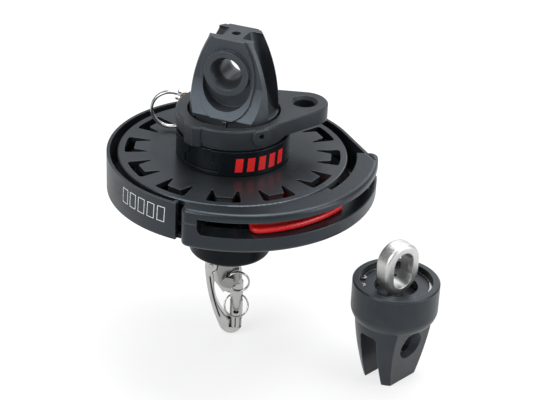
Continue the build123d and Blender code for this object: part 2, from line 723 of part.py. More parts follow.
def shield_outline():
    """Return the round-bottomed outline of the tower's two raised faces."""
    centre = ring_top - SHIELD_DROP + SHIELD_RADIUS
    upper = eye_level + SHIELD_UPPER_RISE
    lobe = Plane.XZ * Pos(0, centre) * Circle(SHIELD_RADIUS)
    sides = [
        Line((SHIELD_RADIUS, centre), (-SHIELD_RADIUS, centre)),
        ThreePointArc((-SHIELD_RADIUS, centre), (-SHIELD_UPPER, upper), (-SHIELD_TOP, tower_top + 1)),
        Line((-SHIELD_TOP, tower_top + 1), (SHIELD_TOP, tower_top + 1)),
        ThreePointArc((SHIELD_TOP, tower_top + 1), (SHIELD_UPPER, upper), (SHIELD_RADIUS, centre)),
    ]
    upper = Plane.XZ * make_face(Curve() + sides)
    return extrude(lobe, THIMBLE_FOOT + 1, both=True) + extrude(upper, THIMBLE_FOOT + 1, both=True)


def cable_thimble():
    """The tower on top of the drum, with the cable eye and the rope's two grooves."""
    outline = [
        Polyline((0, tower_top), (0, foot_low), (THIMBLE_FOOT, foot_low), (THIMBLE_FOOT, ring_top)),
        ThreePointArc((THIMBLE_FOOT, ring_top), (THIMBLE_MID, eye_level), (THIMBLE_TOP, tower_top)),
        Line((THIMBLE_TOP, tower_top), (0, tower_top)),
    ]
    envelope = revolve(make_face(Plane.XZ * (Curve() + outline)), Axis.Z)
    body = envelope & (thimble_side(SHIELD_STEP) + (thimble_side(0.0) & shield_outline()))
    body += cross_bar(EYE_BOSS, 0, eye_level, -BOSS_STAND, BOSS_STAND)
    ring_recess = cross_bar(POCKET_RADIUS, 0, eye_level - POCKET_DROP, -THIMBLE_FOOT, THIMBLE_FOOT)
    ring_recess -= cross_bar(EYE_BOSS, 0, eye_level, -THIMBLE_FOOT, THIMBLE_FOOT)
    ring_recess -= box(-THIMBLE_FOOT, THIMBLE_FOOT, -POCKET_FLOOR, POCKET_FLOOR, ring_top, tower_top)
    body -= ring_recess
    body -= cross_bar(EYE_BORE, 0, eye_level, -THIMBLE_FOOT, THIMBLE_FOOT)
    mouth = -BOSS_STAND
    throat = mouth + EYE_BELL
    bell = revolve(make_face(Plane.XZ * (Curve() + [
        Polyline((EYE_BORE, mouth - 1), (EYE_MOUTH, mouth - 1), (EYE_MOUTH, mouth)),
        ThreePointArc((EYE_MOUTH, mouth), (EYE_BORE + EYE_SAG, (mouth + throat) / 2), (EYE_BORE, throat)),
        Line((EYE_BORE, throat), (EYE_BORE, mouth - 1)),
    ])), Axis.Z)
    body -= Pos(0, 0, eye_level) * Rot(-90, 0, 0) * bell
    body -= Pos(0, 0, eye_level) * Rot(90, 0, 0) * bell
    half = ROPE_WIDTH / 2
    low = ring_top + ROPE_RAISE
    beyond = THIMBLE_FOOT + ROPE_ROUND
    floor = [(WEB_TOP, tower_top + 1), (WEB_ABOVE, eye_level + WEB_RISE), (WEB_BELOW, eye_level - WEB_DROP),
             (WEB_KNEE, eye_level - WEB_KNEE_DROP), (WEB_FOOT, low), (beyond, low - ROPE_RAISE)]
    route = make_face(Plane.XZ * Polyline(*floor, (beyond, tower_top + 1), close=True))
    groove = extrude(route, half, both=True)
    long_edges = groove.edges().filter_by(lambda e: abs(abs(e.center().Y) - half) < NEAR)
    groove = fillet(long_edges.sort_by(Axis.X)[:8], ROPE_ROUND)
    body -= groove
    body -= mirror(groove, Plane.YZ)
    body -= disc(TOP_HOLE, tower_top - TOP_HOLE_DEPTH, tower_top + 1)
    body = Rot(0, 0, -THIMBLE_TURN) * body
    body -= disc(RACE_OUTER, foot_low - 1, cavity_top)
    notch = radial_bar(LOCK_RADIUS + FREE_GAP, THIMBLE_FOOT - NOTCH_DEPTH, THIMBLE_FOOT + 1, 0, lock_level)
    body -= around(notch, WINDOWS, lock_angle)
    return body - thimble_screws()


# Stator
def load_shaft():
    """The shaft on the spin axis, with the fork for the shackle's pin."""
    r = SHAFT_RADIUS
    half = FORK_GAP / 2 + FORK_LEG
    block = box(-FORK_WIDTH / 2, FORK_WIDTH / 2, -half, half, 0, HUB_BOTTOM)
    block += cross_bar(FORK_WIDTH / 2, 0, 0, -half, half)
    block -= box(-FORK_WIDTH, FORK_WIDTH, -FORK_GAP / 2, FORK_GAP / 2, -FORK_WIDTH, HUB_BOTTOM - FORK_ROOT)
    block -= cross_bar(PIN_RADIUS, 0, 0, -half - 1, half + 1)
    shaft = disc(r, HUB_BOTTOM, nut_low + NUT_HEIGHT + SHAFT_STUB)
    relief = hub_floor_top + LOCKNUT_HEIGHT + RELIEF_WIDTH
    groove = tube(r - RELIEF_DEPTH, r + 1, relief, relief + RELIEF_WIDTH)
    pin_hole = Pos(0, 0, split_level) * Rot(0, 90, 0) * Cylinder(SPLIT_PIN_RADIUS, NUT_ACROSS * 2)
    return block + shaft - groove - key_block() - pin_hole


def key_block():
    """The key that stops the lower hub from turning on the shaft."""
    return box(SHAFT_RADIUS - KEY_DEPTH / 2, SHAFT_RADIUS + KEY_DEPTH / 2, -KEY_WIDTH / 2, KEY_WIDTH / 2,
               HUB_BOTTOM + KEY_INSET, hub_floor_top - KEY_INSET)


def shaft_nut():
    """The castle nut that bears on the load bearing."""
    nut = hex_nut(NUT_ACROSS, SHAFT_RADIUS, nut_low, nut_low + NUT_HEIGHT)
    slot = box(-NUT_ACROSS, NUT_ACROSS, -SPLIT_PIN_RADIUS, SPLIT_PIN_RADIUS, split_level - SPLIT_PIN_RADIUS,
               nut_low + NUT_HEIGHT + 1)
    return nut - [Rot(0, 0, 60.0 * i) * slot for i in range(3)]


def split_pin():
    """The split pin through the nut, with its two bent ends."""
    reach = NUT_ACROSS / 2 + SPLIT_PIN_REACH
    pin = Pos(0, 0, split_level) * Rot(0, 90, 0) * Cylinder(SPLIT_PIN_RADIUS - RUN_FIT, reach * 2)
    head = Pos(reach, 0, split_level) * Sphere(SPLIT_PIN_HEAD)
    return pin + head


def clevis_pin():
    """The pin through the fork and the shackle's eye."""
    half = FORK_GAP / 2 + FORK_LEG
    pin = cross_bar(PIN_RADIUS, 0, 0, -half - PIN_TAIL, half)
    pin += cross_bar(PIN_HEAD_RADIUS, 0, 0, half, half + PIN_HEAD)
    pin -= Pos(0, clevis_ring_y, 0) * Cylinder(RING_HOLE, PIN_RADIUS * 3)
    return pin


def lower_hub():
    """The fixed hub under the guard, with the radial bearing's seat."""
    flange_under = hub_top - HUB_FLANGE_THICK
    ledge = HUB_CAVITY - HUB_LEDGE
    outline = [(0, HUB_BOTTOM), (HUB_RADIUS, HUB_BOTTOM), (HUB_RADIUS, flange_under - HUB_FLARE),
               (HUB_FLANGE, flange_under), (HUB_FLANGE, hub_top), (HUB_CAVITY, hub_top),
               (HUB_CAVITY, radial_low), (ledge, radial_low), (ledge, hub_floor_top), (0, hub_floor_top)]
    body = turned(outline)
    foot = body.edges().filter_by(GeomType.CIRCLE).filter_by(
        lambda e: abs(e.radius - HUB_RADIUS) < NEAR and abs(e.center().Z - HUB_BOTTOM) < NEAR)
    body = fillet(foot, HUB_FILLET)
    body -= disc(SHAFT_RADIUS, HUB_BOTTOM - 1, hub_floor_top + 1)
    return body - key_block() - hub_screws()


def hub_screws(socket=False):
    """Six countersunk screws through the guard plate into the lower hub."""
    screw = flat_screw(M4_RADIUS, M4_HEAD, M4_HEAD_HEIGHT, -plate_top, PLATE_THICK + HUB_THREAD, socket)
    return around(at_polar(Rot(180, 0, 0) * screw, HUB_SCREW_PITCH, 0), SCREWS)


def feed_plan(inset=0.0):
    """Return the feeder's plan, between its front arc and the arcs round the drum."""
    turn = math.degrees(inset / feed_arc)
    wedge = sector(CORE_RADIUS, beyond_feeder, FEED_START + turn, FEED_END - turn)
    outer = Pos(*FEED_CENTRE) * Circle(feed_arc - inset)
    right_side = sector(CORE_RADIUS, feed_inner_right + inset, FEED_WIDEN, FEED_END + FEED_OVER)
    return (wedge & outer) - Circle(feed_inner + inset) - right_side


def feed_screws(high, spots, socket):
    """Return screws that point up from the guard plate's underside."""
    one = flat_screw(M4_RADIUS, M4_HEAD, M4_HEAD_HEIGHT, plate_low, high - plate_low, socket)
    return [at_polar(one, DRUM_RADIUS + out, angle) for out, angle in spots]


def plate_plan():
    """Return the guard plate's plan, with its ear under the feeder."""
    root = band_inner - EAR_ROOT
    link = sector(root, feed_inner + EAR_OVERLAP, FEED_START + EAR_INSET, FEED_END - EAR_INSET)
    link += sector(root, feed_inner_right + EAR_OVERLAP, FEED_WIDEN - EAR_INSET, FEED_END - EAR_INSET)
    corner = sector(root, feed_arc - EAR_INSET / 2, FEED_END - EAR_CORNER, FEED_END - EAR_INSET)
    return Circle(band_inner) + feed_plan(EAR_INSET) + link + corner


def guard_plate():
    """The plate under the drum, with lugs for the band and an ear under the feeder."""
    body = raised(plate_plan(), plate_low, plate_top) - disc(HUB_CAVITY, plate_low - 1, plate_top + 1)
    for angle in LUG_ANGLES:
        lug = sector(band_inner - LUG_WALL, band_inner, angle - LUG_ARC, angle + LUG_ARC)
        body += raised(lug, plate_low, plate_top + LUG_HEIGHT)
    return body - band_screws() - hub_screws() - long_feed_screws() - short_feed_screws()


def band_screws(socket=False):
    """Countersunk screws through the band into the plate's lugs."""
    length = BAND_THICK + LUG_WALL - SCREW_SHORT
    one = flat_screw(M3_RADIUS, M3_HEAD, BAND_HEAD_HEIGHT, 0, length, socket)
    level = plate_top + LUG_HEIGHT / 2
    return [Rot(0, 0, angle) * Pos(band_outer, 0, level) * Rot(0, -90, 0) * one for angle in LUG_ANGLES]


def band_plan():
    """Return the band's plan: a circle, a straight run to the feeder and a short turned-in end."""
    top = BAND_LEAVE
    start = BAND_END + 360.0
    ring = sector(band_inner, band_outer, top, start)
    x, y = polar(band_outer, top)
    along = (math.sin(math.radians(top)), -math.cos(math.radians(top)))
    end = (x + along[0] * BAND_RUN, y + along[1] * BAND_RUN)
    inward = (-math.cos(math.radians(top)) * BAND_THICK, -math.sin(math.radians(top)) * BAND_THICK)
    run = make_face(Polyline((x, y), end, (end[0] + inward[0], end[1] + inward[1]),
                             (x + inward[0], y + inward[1]), close=True))
    lip = sector(band_outer - BAND_LIP, band_outer, start - BAND_LIP_ARC, start)
    return ring + run + lip


def guard_band():
    """The bent band, notched over the plate's ear."""
    body = raised(band_plan(), GUARD_BOTTOM, GUARD_BOTTOM + GUARD_HEIGHT)
    return body - raised(plate_plan(), plate_low - 1, plate_top) - band_screws()


def feed_slot():
    """Return the line's slot: a deep part with a rounded end, and a shallow end round the right corner."""
    low = GUARD_BOTTOM + SLOT_LOW
    high = GUARD_BOTTOM + SLOT_HIGH
    deep = raised(sector(CORE_RADIUS, beyond_feeder, SLOT_START, SLOT_END), low, high)
    ends = deep.edges().filter_by(GeomType.LINE).filter_by(
        lambda e: abs(e.center().Z - low) < NEAR and e.center().X < 0)
    deep = fillet(ends, SLOT_ROUND)
    shallow = raised(feed_plan() - feed_plan(SLOT_DEPTH), low, high)
    right_end = sector(CORE_RADIUS, beyond_feeder, SLOT_END - FEED_OVER, FEED_END + FEED_OVER)
    return deep + (shallow & raised(right_end, low, high))


def uprights_outside(body, radius):
    """Return a body's upright edges beyond a radius from the spin axis."""
    uprights = body.edges().filter_by(Axis.Z)
    return uprights.filter_by(lambda e: math.hypot(e.center().X, e.center().Y) > radius)


def feeder_body():
    """The feeder's two halves in one, with the line's slot cut through."""
    low = GUARD_BOTTOM
    high = GUARD_BOTTOM + FEED_HEIGHT
    body = raised(feed_plan(), low, high)
    body = fillet(uprights_outside(body, feed_arc - FEED_CORNER), FEED_CORNER)
    front = body.edges().filter_by(GeomType.CIRCLE).filter_by(
        lambda e: abs(e.radius - feed_arc) < NEAR or abs(e.radius - FEED_CORNER) < NEAR)
    body = fillet(front, FEED_ROUND)
    body -= feed_slot()
    run = raised(band_plan(), low - 1, high + 1)
    return body - run


def split_feeder():
    """Return the lower and the upper half."""
    split = GUARD_BOTTOM + FEED_SPLIT
    whole = feeder_body() - long_feed_screws()
    reach = 2 * feed_arc
    low_side = box(-reach, reach, -reach, reach, GUARD_BOTTOM - 1, split)
    high_side = box(-reach, reach, -reach, reach, split, GUARD_BOTTOM + FEED_HEIGHT + 1)
    return whole & low_side, whole & high_side


def long_feed_screws(socket=False):
    """Screws through both halves at the feeder's ends."""
    return feed_screws(GUARD_BOTTOM + FEED_HEIGHT - FEED_COVER, POST_SPOTS, socket)


def short_feed_screws(socket=False):
    """Screws from below into the lower half."""
    return feed_screws(GUARD_BOTTOM + SLOT_LOW - FEED_SKIN, EAR_SPOTS, socket)


def line_guide():
    """The red wear piece that leads the line from the slot into the groove."""
    low = GUARD_BOTTOM + SLOT_LOW
    face = sector(guide_inner, guide_outer, GUIDE_START, GUIDE_END)
    body = raised(face, low, low + GUIDE_THICK)
    body = fillet(uprights_outside(body, (guide_inner + guide_outer) / 2), GUIDE_CORNER)
    nose = body.edges().filter_by(GeomType.CIRCLE).filter_by(
        lambda e: abs(e.radius - guide_outer) < NEAR or abs(e.radius - GUIDE_CORNER) < NEAR)
    body = fillet(nose, GUIDE_NOSE)
    lip_inner = guide_lip - GUIDE_LIP_WALL
    lip = sector(lip_inner, guide_lip, GUIDE_LIP_START, GUIDE_END - GUIDE_LIP_ARC)
    return body + raised(lip, low, low + GUIDE_LIP_HEIGHT)


# Tack swivel ring
def ring_plan():
    """Return the teardrop of the tack ring, with its thicker back."""
    x, y = polar(ARM_REACH, ARM_ANGLE)
    arm = make_hull(Circle(RING_RADIUS).edges() + (Pos(x, y) * Circle(ARM_END)).edges())
    return arm + Pos(*RING_BACK_CENTRE) * Circle(RING_BACK_RADIUS)


def ring_lug():
    """Return the faceted corner at the ring's left front."""
    return make_face(Polyline(*RING_LUG, close=True))


def radial_bar(radius, start, end, angle, level):
    """Return a cylinder that points out from the spin axis."""
    bar = Pos((start + end) / 2, 0, level) * Rot(0, 90, 0) * Cylinder(radius, end - start)
    return Rot(0, 0, angle) * bar


def tack_ring():
    """The swivel ring with the arm that the sail's tack is fastened to."""
    body = raised(ring_plan(), ring_top - ARM_THICK, ring_top)
    body += disc(RING_SKIRT, ring_low, ring_top - 2 * RING_CHAMFER)
    body += raised(ring_lug(), ring_low, ring_top)
    body += radial_bar(BOSS_RADIUS, RING_MOUTH, BOSS_FACE, BOSS_ANGLE, ring_low + BOSS_HEIGHT)
    body &= disc(DRUM_RADIUS, ring_low, ring_top)
    top = body.faces().sort_by(Axis.Z)[-1].edges()
    body = chamfer(top, RING_CHAMFER)
    x, y = polar(ARM_REACH, ARM_ANGLE)
    body -= disc(ARM_HOLE, ring_low - 1, ring_top + 1, x, y)
    mouth = Cone(ARM_HOLE, ARM_HOLE + ARM_MOUTH + 1, ARM_MOUTH + 1, align=ON_FLOOR)
    body -= Pos(x, y, ring_top - ARM_MOUTH) * mouth
    body -= disc(RING_BORE, ring_low - 1, ring_top + 1)
    body -= disc(RING_MOUTH, ring_low + RING_LIP, ring_top + 1)
    body -= radial_bar(LOCK_BUSH, RING_MOUTH - 1, ARM_REACH, lock_angle, lock_level)
    return body - radial_bar(M4_RADIUS, RING_MOUTH - 1, BOSS_FACE + 1, BOSS_ANGLE, ring_low + BOSS_HEIGHT)


def tack_screw():
    """The grub screw in the ring's boss."""
    end = BOSS_FACE - GRUB_SINK
    screw = radial_bar(M4_RADIUS, RING_MOUTH + FREE_GAP, end, BOSS_ANGLE, ring_low + BOSS_HEIGHT)
    hollow = M4_RADIUS * SOCKET_SHARE
    return screw - radial_bar(hollow, end - M4_RADIUS, BOSS_FACE, BOSS_ANGLE, ring_low + BOSS_HEIGHT)


def tack_bush():
    """The plain bush between the ring and the neck."""
    return tube(NECK_RADIUS + RUN_FIT, RING_BORE, ring_low, ring_low + RING_LIP)


def lock_bush():
    """The bronze bush that the lock pin slides in."""
    start = RING_MOUTH + 2 * FREE_GAP
    end = LOCK_BUSH_END + LOCK_BUSH_STEP
    sleeve = radial_bar(LOCK_BUSH, start, LOCK_BUSH_END, lock_angle, lock_level)
    collar = radial_bar(LOCK_BUSH - LOCK_BUSH_NARROW, start, end, lock_angle, lock_level)
    return sleeve + collar - radial_bar(LOCK_RADIUS + RUN_FIT, start - 1, end + 1, lock_angle, lock_level)


def lock_pin():
    """The pin that locks the ring to the thimble, with an eye for its pull ring."""
    tip = THIMBLE_FOOT + FREE_GAP
    pin = radial_bar(LOCK_RADIUS, tip, lock_reach - LOCK_NECK, lock_angle, lock_level)
    pin += radial_bar(LOCK_NECK, tip, lock_reach + LOCK_EYE_WIRE, lock_angle, lock_level)
    return pin + lock_eye()


def lock_eye():
    """Return the flat eye on the lock pin's end, square to the pull ring's wire."""
    slope = math.degrees(math.atan2(PULL_DROP, PULL_X - eye_x))
    stem_length = LOCK_STEM + LOCK_EYE_WIRE
    stem = Pos(0, -stem_length / 2) * Rectangle(LOCK_EYE, stem_length)
    plan = Circle(LOCK_EYE + LOCK_EYE_WIRE) + stem - Circle(LOCK_EYE - LOCK_EYE_WIRE)
    flat = extrude(plan, LOCK_EYE_WIRE, both=True)
    return Pos(eye_x, PULL_Y, lock_level) * Rot(0, slope, 0) * flat


def pull_ring():
    return Pos(PULL_X, PULL_Y, pull_level) * split_ring(PULL_RING_RADIUS, PULL_WIRE)


# Snap shackle
def gate_outline():
    """Return the gate's outline: a hook from its hinge round to the nose in the jaws."""
    left = HINGE_X - HINGE_RADIUS
    edge = HOUSING_X + HOUSING_RADIUS - GATE_EDGE
    back = ThreePointArc((left, HINGE_Z), GATE_OUTER, GATE_HEEL)
    outline = [
        back,
        TangentArc(GATE_HEEL, (edge, GATE_TOE), tangent=back % 1),
        Polyline((edge, GATE_TOE), (edge, NOSE_TOP), (GATE_NOSE, NOSE_TOP)),
        ThreePointArc((GATE_NOSE, NOSE_TOP), GATE_BOW, GATE_WAIST),
        Polyline(GATE_WAIST, (HINGE_X, HINGE_Z), (left, HINGE_Z)),
    ]
    return make_face(Plane.XZ * (Curve() + outline))


def shackle_gate():
    """The swinging gate, forked at its hinge and narrowed to a tongue in the jaws."""
    body = extrude(gate_outline(), SHACKLE_HALF, both=True)
    faces_edges = body.edges().filter_by(lambda e: abs(abs(e.center().Y) - SHACKLE_HALF) < NEAR)
    below_waist = faces_edges.filter_by(lambda e: e.center().Z < GATE_WAIST[1])
    long_edges = below_waist.filter_by(lambda e: e.center().X < HOUSING_X / 2)
    body = fillet(long_edges, GATE_ROUND)
    body += cross_bar(HINGE_RADIUS, HINGE_X, HINGE_Z, -SHACKLE_HALF, SHACKLE_HALF)
    jaw_left = HOUSING_X - HOUSING_RADIUS - FREE_GAP
    jaw_low = JAW_BOTTOM - FREE_GAP
    body -= box(jaw_left, HOUSING_REACH, NOSE_HALF, EYE_RADIUS, jaw_low, 0)
    body -= box(jaw_left, HOUSING_REACH, -EYE_RADIUS, -NOSE_HALF, jaw_low, 0)
    tongue_room = HINGE_TONGUE + FREE_GAP
    body -= cross_bar(HINGE_RADIUS + HINGE_ROOM, HINGE_X, HINGE_Z, -tongue_room, tongue_room)
    body -= cross_bar(HINGE_PIN + RUN_FIT, HINGE_X, HINGE_Z, -EYE_RADIUS, EYE_RADIUS)
    tip_end = NOSE_TOP - PLUNGER_TRAVEL - TIP_DEEPER
    return body - disc(PLUNGER_TIP + TIP_ROOM, tip_end, NOSE_TOP + 1, HOUSING_X, 0)


def gate_side():
    """Return the space beside the web that the closed gate's upper end takes."""
    left = HINGE_X - 2 * HINGE_RADIUS
    right = GATE_WAIST[0] + FREE_GAP
    low = GATE_WAIST[1] - WEB_WIDTH
    side = Polyline((HINGE_X + FREE_GAP, HINGE_Z), (right, GATE_WAIST[1]), (right, low), (left, low),
                    (left, HINGE_Z), close=True)
    return extrude(Plane.XZ * make_face(side), SHACKLE_HALF + 1, both=True)


def shackle_body():
    """The body: eye for the clevis pin, hinge arm, diagonal web and plunger housing."""
    body = slab(HINGE_X, HINGE_Z, *WEB_END, WEB_WIDTH, SHACKLE_HALF) - gate_side()
    body += slab(*STEM_START, HOUSING_X, STEM_LOW, STEM_WIDTH, SHACKLE_HALF)
    body += cross_bar(EYE_RADIUS, 0, 0, -EYE_HALF, EYE_HALF)
    body += disc(HOUSING_RADIUS, JAW_BOTTOM, HOUSING_TOP, HOUSING_X, 0)
    for side in (-1, 1):
        inner = side * HINGE_TONGUE
        outer = side * EYE_RADIUS
        room = HINGE_RADIUS + HINGE_ROOM
        body -= cross_bar(room, HINGE_X, HINGE_Z, min(inner, outer), max(inner, outer))
    body += cross_bar(HINGE_RADIUS, HINGE_X, HINGE_Z, -HINGE_TONGUE, HINGE_TONGUE)
    chamber_low = HOUSING_BOTTOM + CHAMBER_FLOOR
    jaw = JAW_GAP / 2
    body -= box(HOUSING_X - EYE_RADIUS, HOUSING_REACH, -jaw, jaw, JAW_BOTTOM - 1, HOUSING_BOTTOM)
    body -= disc(PLUNGER_RADIUS + RUN_FIT, chamber_low, CHAMBER_TOP, HOUSING_X, 0)
    body -= disc(PLUNGER_TIP + RUN_FIT, HOUSING_BOTTOM - 1, chamber_low + 1, HOUSING_X, 0)
    side = HOUSING_X - HOUSING_RADIUS
    slot_low = PLUNGER_PIVOT - RING_SLOT_DROP
    slot_high = PLUNGER_PIVOT + RING_SLOT_RISE
    body -= box(side - 1, HOUSING_REACH, -RING_SLOT_FRONT, RING_SLOT_BACK, slot_low, slot_high)
    body -= box(side - RING_SLOT_SIDE, side, -EYE_RADIUS, RING_SLOT_BACK, slot_low, slot_high)
    for place in JAW_SLOTS:
        left = HOUSING_X + place - JAW_SLOT_WIDTH / 2
        body -= box(left, left + JAW_SLOT_WIDTH, -EYE_RADIUS, EYE_RADIUS, JAW_BOTTOM - 1, JAW_SLOT_TOP)
    sight = SlotCenterToCenter(SIGHT_WIDTH - SIGHT_HEIGHT, SIGHT_HEIGHT)
    body -= Pos(HOUSING_X, 0, SIGHT_LEVEL) * Rot(90, 0, 0) * extrude(sight, EYE_RADIUS)
    body -= cross_bar(PIN_RADIUS + RUN_FIT, 0, 0, -EYE_RADIUS, EYE_RADIUS)
    return body - gate_pin()


def gate_pin():
    """The riveted pin that the gate turns on."""
    return cross_bar(HINGE_PIN, HINGE_X, HINGE_Z, -SHACKLE_HALF - PIN_STAND, SHACKLE_HALF + PIN_STAND)


def plunger():
    """The spring pin that holds the gate's nose."""
    tip_low = NOSE_TOP + FREE_GAP
    shoulder = HOUSING_BOTTOM + CHAMBER_FLOOR + PLUNGER_TRAVEL + PLUNGER_SPARE
    body = disc(PLUNGER_TIP, tip_low, shoulder + 1, HOUSING_X, 0)
    body += disc(PLUNGER_RADIUS, shoulder, PLUNGER_TOP, HOUSING_X, 0)
    return body - Pos(HOUSING_X, 0, PLUNGER_PIVOT) * Rot(0, 90, 0) * Cylinder(RING_HOLE, PLUNGER_RADIUS * 4)


def plunger_spring():
    """The coil spring over the plunger, as closed turns."""
    low = PLUNGER_TOP + SPRING_WIRE
    high = CHAMBER_TOP - SPRING_WIRE
    step = (high - low) / (SPRING_TURNS - 1)
    turn = Torus(SPRING_RADIUS, SPRING_WIRE)
    return [Pos(HOUSING_X, 0, low + step * i) * turn for i in range(SPRING_TURNS)]


def clevis_ring():
    return Pos(SMALL_RING - SMALL_WIRE, clevis_ring_y, 0) * split_ring(SMALL_RING, SMALL_WIRE)


def plunger_ring():
    hung = Pos(0, 0, -PLUNGER_RING) * split_ring(PLUNGER_RING, SMALL_WIRE)
    return Pos(HOUSING_X, 0, PLUNGER_PIVOT) * Rot(-RING_TILT, 0, 0) * hung


# Head swivel, modelled with its rim at zero height on its own axis
def placed(shape):
    """Return a head swivel piece, or a list of pieces, where the head swivel stands."""
    place = Pos(HEAD_X, HEAD_Y, HEAD_RIM)
    return [place * s for s in shape] if isinstance(shape, list) else place * shape


def head_housing():
    """The fork-ended housing of the head swivel."""
    low = HEAD_BOTTOM - HEAD_RIM
    leg_top = -HEAD_SKIRT - HEAD_SHOULDER
    shoulder = (HEAD_RADIUS - HEAD_SHOULDER_SAG, -HEAD_SKIRT - HEAD_SHOULDER / 2)
    leg_middle = (HEAD_MID_RADIUS, (low + leg_top) / 2)
    outline = [
        Polyline((0, low), (0, 0), (HEAD_RADIUS - RIM_EDGE, 0), (HEAD_RADIUS, -RIM_EDGE),
                 (HEAD_RADIUS, -HEAD_SKIRT)),
        ThreePointArc((HEAD_RADIUS, -HEAD_SKIRT), shoulder, (HEAD_LEG_TOP, leg_top)),
        ThreePointArc((HEAD_LEG_TOP, leg_top), leg_middle, (HEAD_LEG_RADIUS, low)),
        Line((HEAD_LEG_RADIUS, low), (0, low)),
    ]
    envelope = revolve(make_face(Plane.XZ * (Curve() + outline)), Axis.Z)
    step = HEAD_FACE_TOP
    wide = HEAD_RADIUS + 1
    sides = [(-wide, 1), (-wide, leg_top), (-step, leg_top), (-HEAD_FACE_LOW, low - 1),
             (HEAD_FACE_LOW, low - 1), (step, leg_top), (wide, leg_top), (wide, 1)]
    face = make_face(Plane.YZ * Polyline(*sides, close=True))
    body = envelope & extrude(face, wide, both=True)
    slot = box(-HEAD_RADIUS - 1, HEAD_RADIUS + 1, -HEAD_SLOT, HEAD_SLOT, low - 1, -HEAD_SLOT_DROP)
    root = slot.edges().filter_by(Axis.X).sort_by(Axis.Z)[-2:]
    body -= fillet(root, HEAD_SLOT_ROUND)
    body -= cross_bar(HEAD_EYE_BORE, 0, -HEAD_EYE_DROP, -HEAD_RADIUS, HEAD_RADIUS)
    mouth = Cone(HEAD_EYE_BORE, HEAD_EYE_MOUTH, HEAD_MOUTH_DEPTH, align=ON_FLOOR)
    body -= Pos(0, -HEAD_MOUTH_START, -HEAD_EYE_DROP) * Rot(90, 0, 0) * mouth
    body -= Pos(0, HEAD_MOUTH_START, -HEAD_EYE_DROP) * Rot(-90, 0, 0) * mouth
    body = Rot(0, 0, HEAD_TURN) * body
    body -= disc(HEAD_CAVITY, -HEAD_FLOOR_DROP, 1)
    return body - disc(HEAD_CAVITY + CIRCLIP_GROOVE, -COVER_DROP, -COVER_DROP + CIRCLIP_THICK)


def head_race():
    """The upper race that the stem's balls bear against."""
    level = head_ball_level()
    low = level + BALL - GROOVE_DEPTH
    return race(STEM_RADIUS + FREE_GAP, HEAD_CAVITY, low, -COVER_DROP - COVER_THICK, HEAD_PITCH, level)


def head_ball_level():
    return -FLANGE_DROP + BALL - GROOVE_DEPTH


def head_cover():
    return tube(STEM_RADIUS + FREE_GAP, HEAD_CAVITY, -COVER_DROP - COVER_THICK, -COVER_DROP)


def head_circlip():
    """The open ring that holds the cover in the housing."""
    low = -COVER_DROP
    high = low + CIRCLIP_THICK
    ring = tube(CIRCLIP_INNER, HEAD_CAVITY + CIRCLIP_GROOVE, low, high)
    near = 180.0 - CIRCLIP_GAP
    far = 180.0 + CIRCLIP_GAP * CIRCLIP_UNEVEN
    for angle in (near - CIRCLIP_EAR_ARC, far + CIRCLIP_EAR_ARC):
        ring += at_polar(disc(CIRCLIP_EAR, low, high), CIRCLIP_INNER + CIRCLIP_EAR_OUT, angle)
        ring -= at_polar(disc(CIRCLIP_HOLE, low - 1, high + 1), CIRCLIP_INNER + CIRCLIP_EAR_OUT, angle)
    return ring - raised(sector(HEAD_PITCH, HEAD_RADIUS, near, far), low - 1, high + 1)


def head_stem():
    """The flanged stem, with its ball groove and the slot for the link."""
    low = -FLANGE_DROP - STEM_FLANGE_THICK
    body = disc(HEAD_FLANGE, low, -FLANGE_DROP) + disc(STEM_RADIUS, -FLANGE_DROP, NECK_TOP)
    body -= Pos(0, 0, head_ball_level()) * Torus(HEAD_PITCH, BALL + RUN_FIT)
    return body - head_link()


def head_link():
    """The stainless eye on top, with its stud in the stem."""
    low = LINK_TOP - LINK_HEIGHT
    plan = SlotCenterToCenter(LINK_HEIGHT - LINK_WIDTH, LINK_WIDTH)
    upright = Rot(90, 0, 0) * Rot(0, 0, 90)
    plate = Pos(0, 0, low + LINK_HEIGHT / 2) * upright * extrude(plan, LINK_THICK / 2, both=True)
    rim = plate.edges().filter_by(lambda e: abs(abs(e.center().Y) - LINK_THICK / 2) < NEAR)
    plate = fillet(rim, LINK_ROUND)
    bore_level = LINK_TOP - LINK_HOLE_DROP - LINK_BORE - LINK_HOLE_LONG / 2
    hole = extrude(SlotCenterToCenter(LINK_HOLE_LONG, LINK_BORE * 2), LINK_THICK, both=True)
    plate -= Pos(0, 0, bore_level) * upright * hole
    stud = disc(STUD_RADIUS, -FLANGE_DROP - STEM_FLANGE_THICK + STUD_SINK, low + STUD_ROOT)
    return Rot(0, 0, LINK_TURN) * (plate + stud)


# Rotor
journal_low = hub_floor_top + JOURNAL_LOW
save("upper_flange", upper_flange())
save("hub_barrel", hub_barrel())
save("lower_flange", lower_flange())
save("drum_core", drum_core())
save("drum_sleeve", drum_sleeve())
save("drum_screws", drum_screws(True))
save("thimble_screws", thimble_screws(True))
save("hub_collar", hub_collar())
save("collar_tab", collar_tab())
save("cable_thimble", cable_thimble())
save("load_race_lower", race(RACE_INNER, RACE_OUTER, race_low, race_low + RACE_THICK, THRUST_PITCH,
                             ball_level))
save("radial_race_inner", race(SPIGOT_RADIUS, SPIGOT_RADIUS + RADIAL_INNER_WALL, radial_low, radial_top,
                               RADIAL_PITCH, radial_level))
save("journal_bush", tube(SHAFT_RADIUS + RUN_FIT, SHAFT_RADIUS + SHAFT_BORE_GAP, journal_low,
                          journal_low + JOURNAL_HEIGHT))

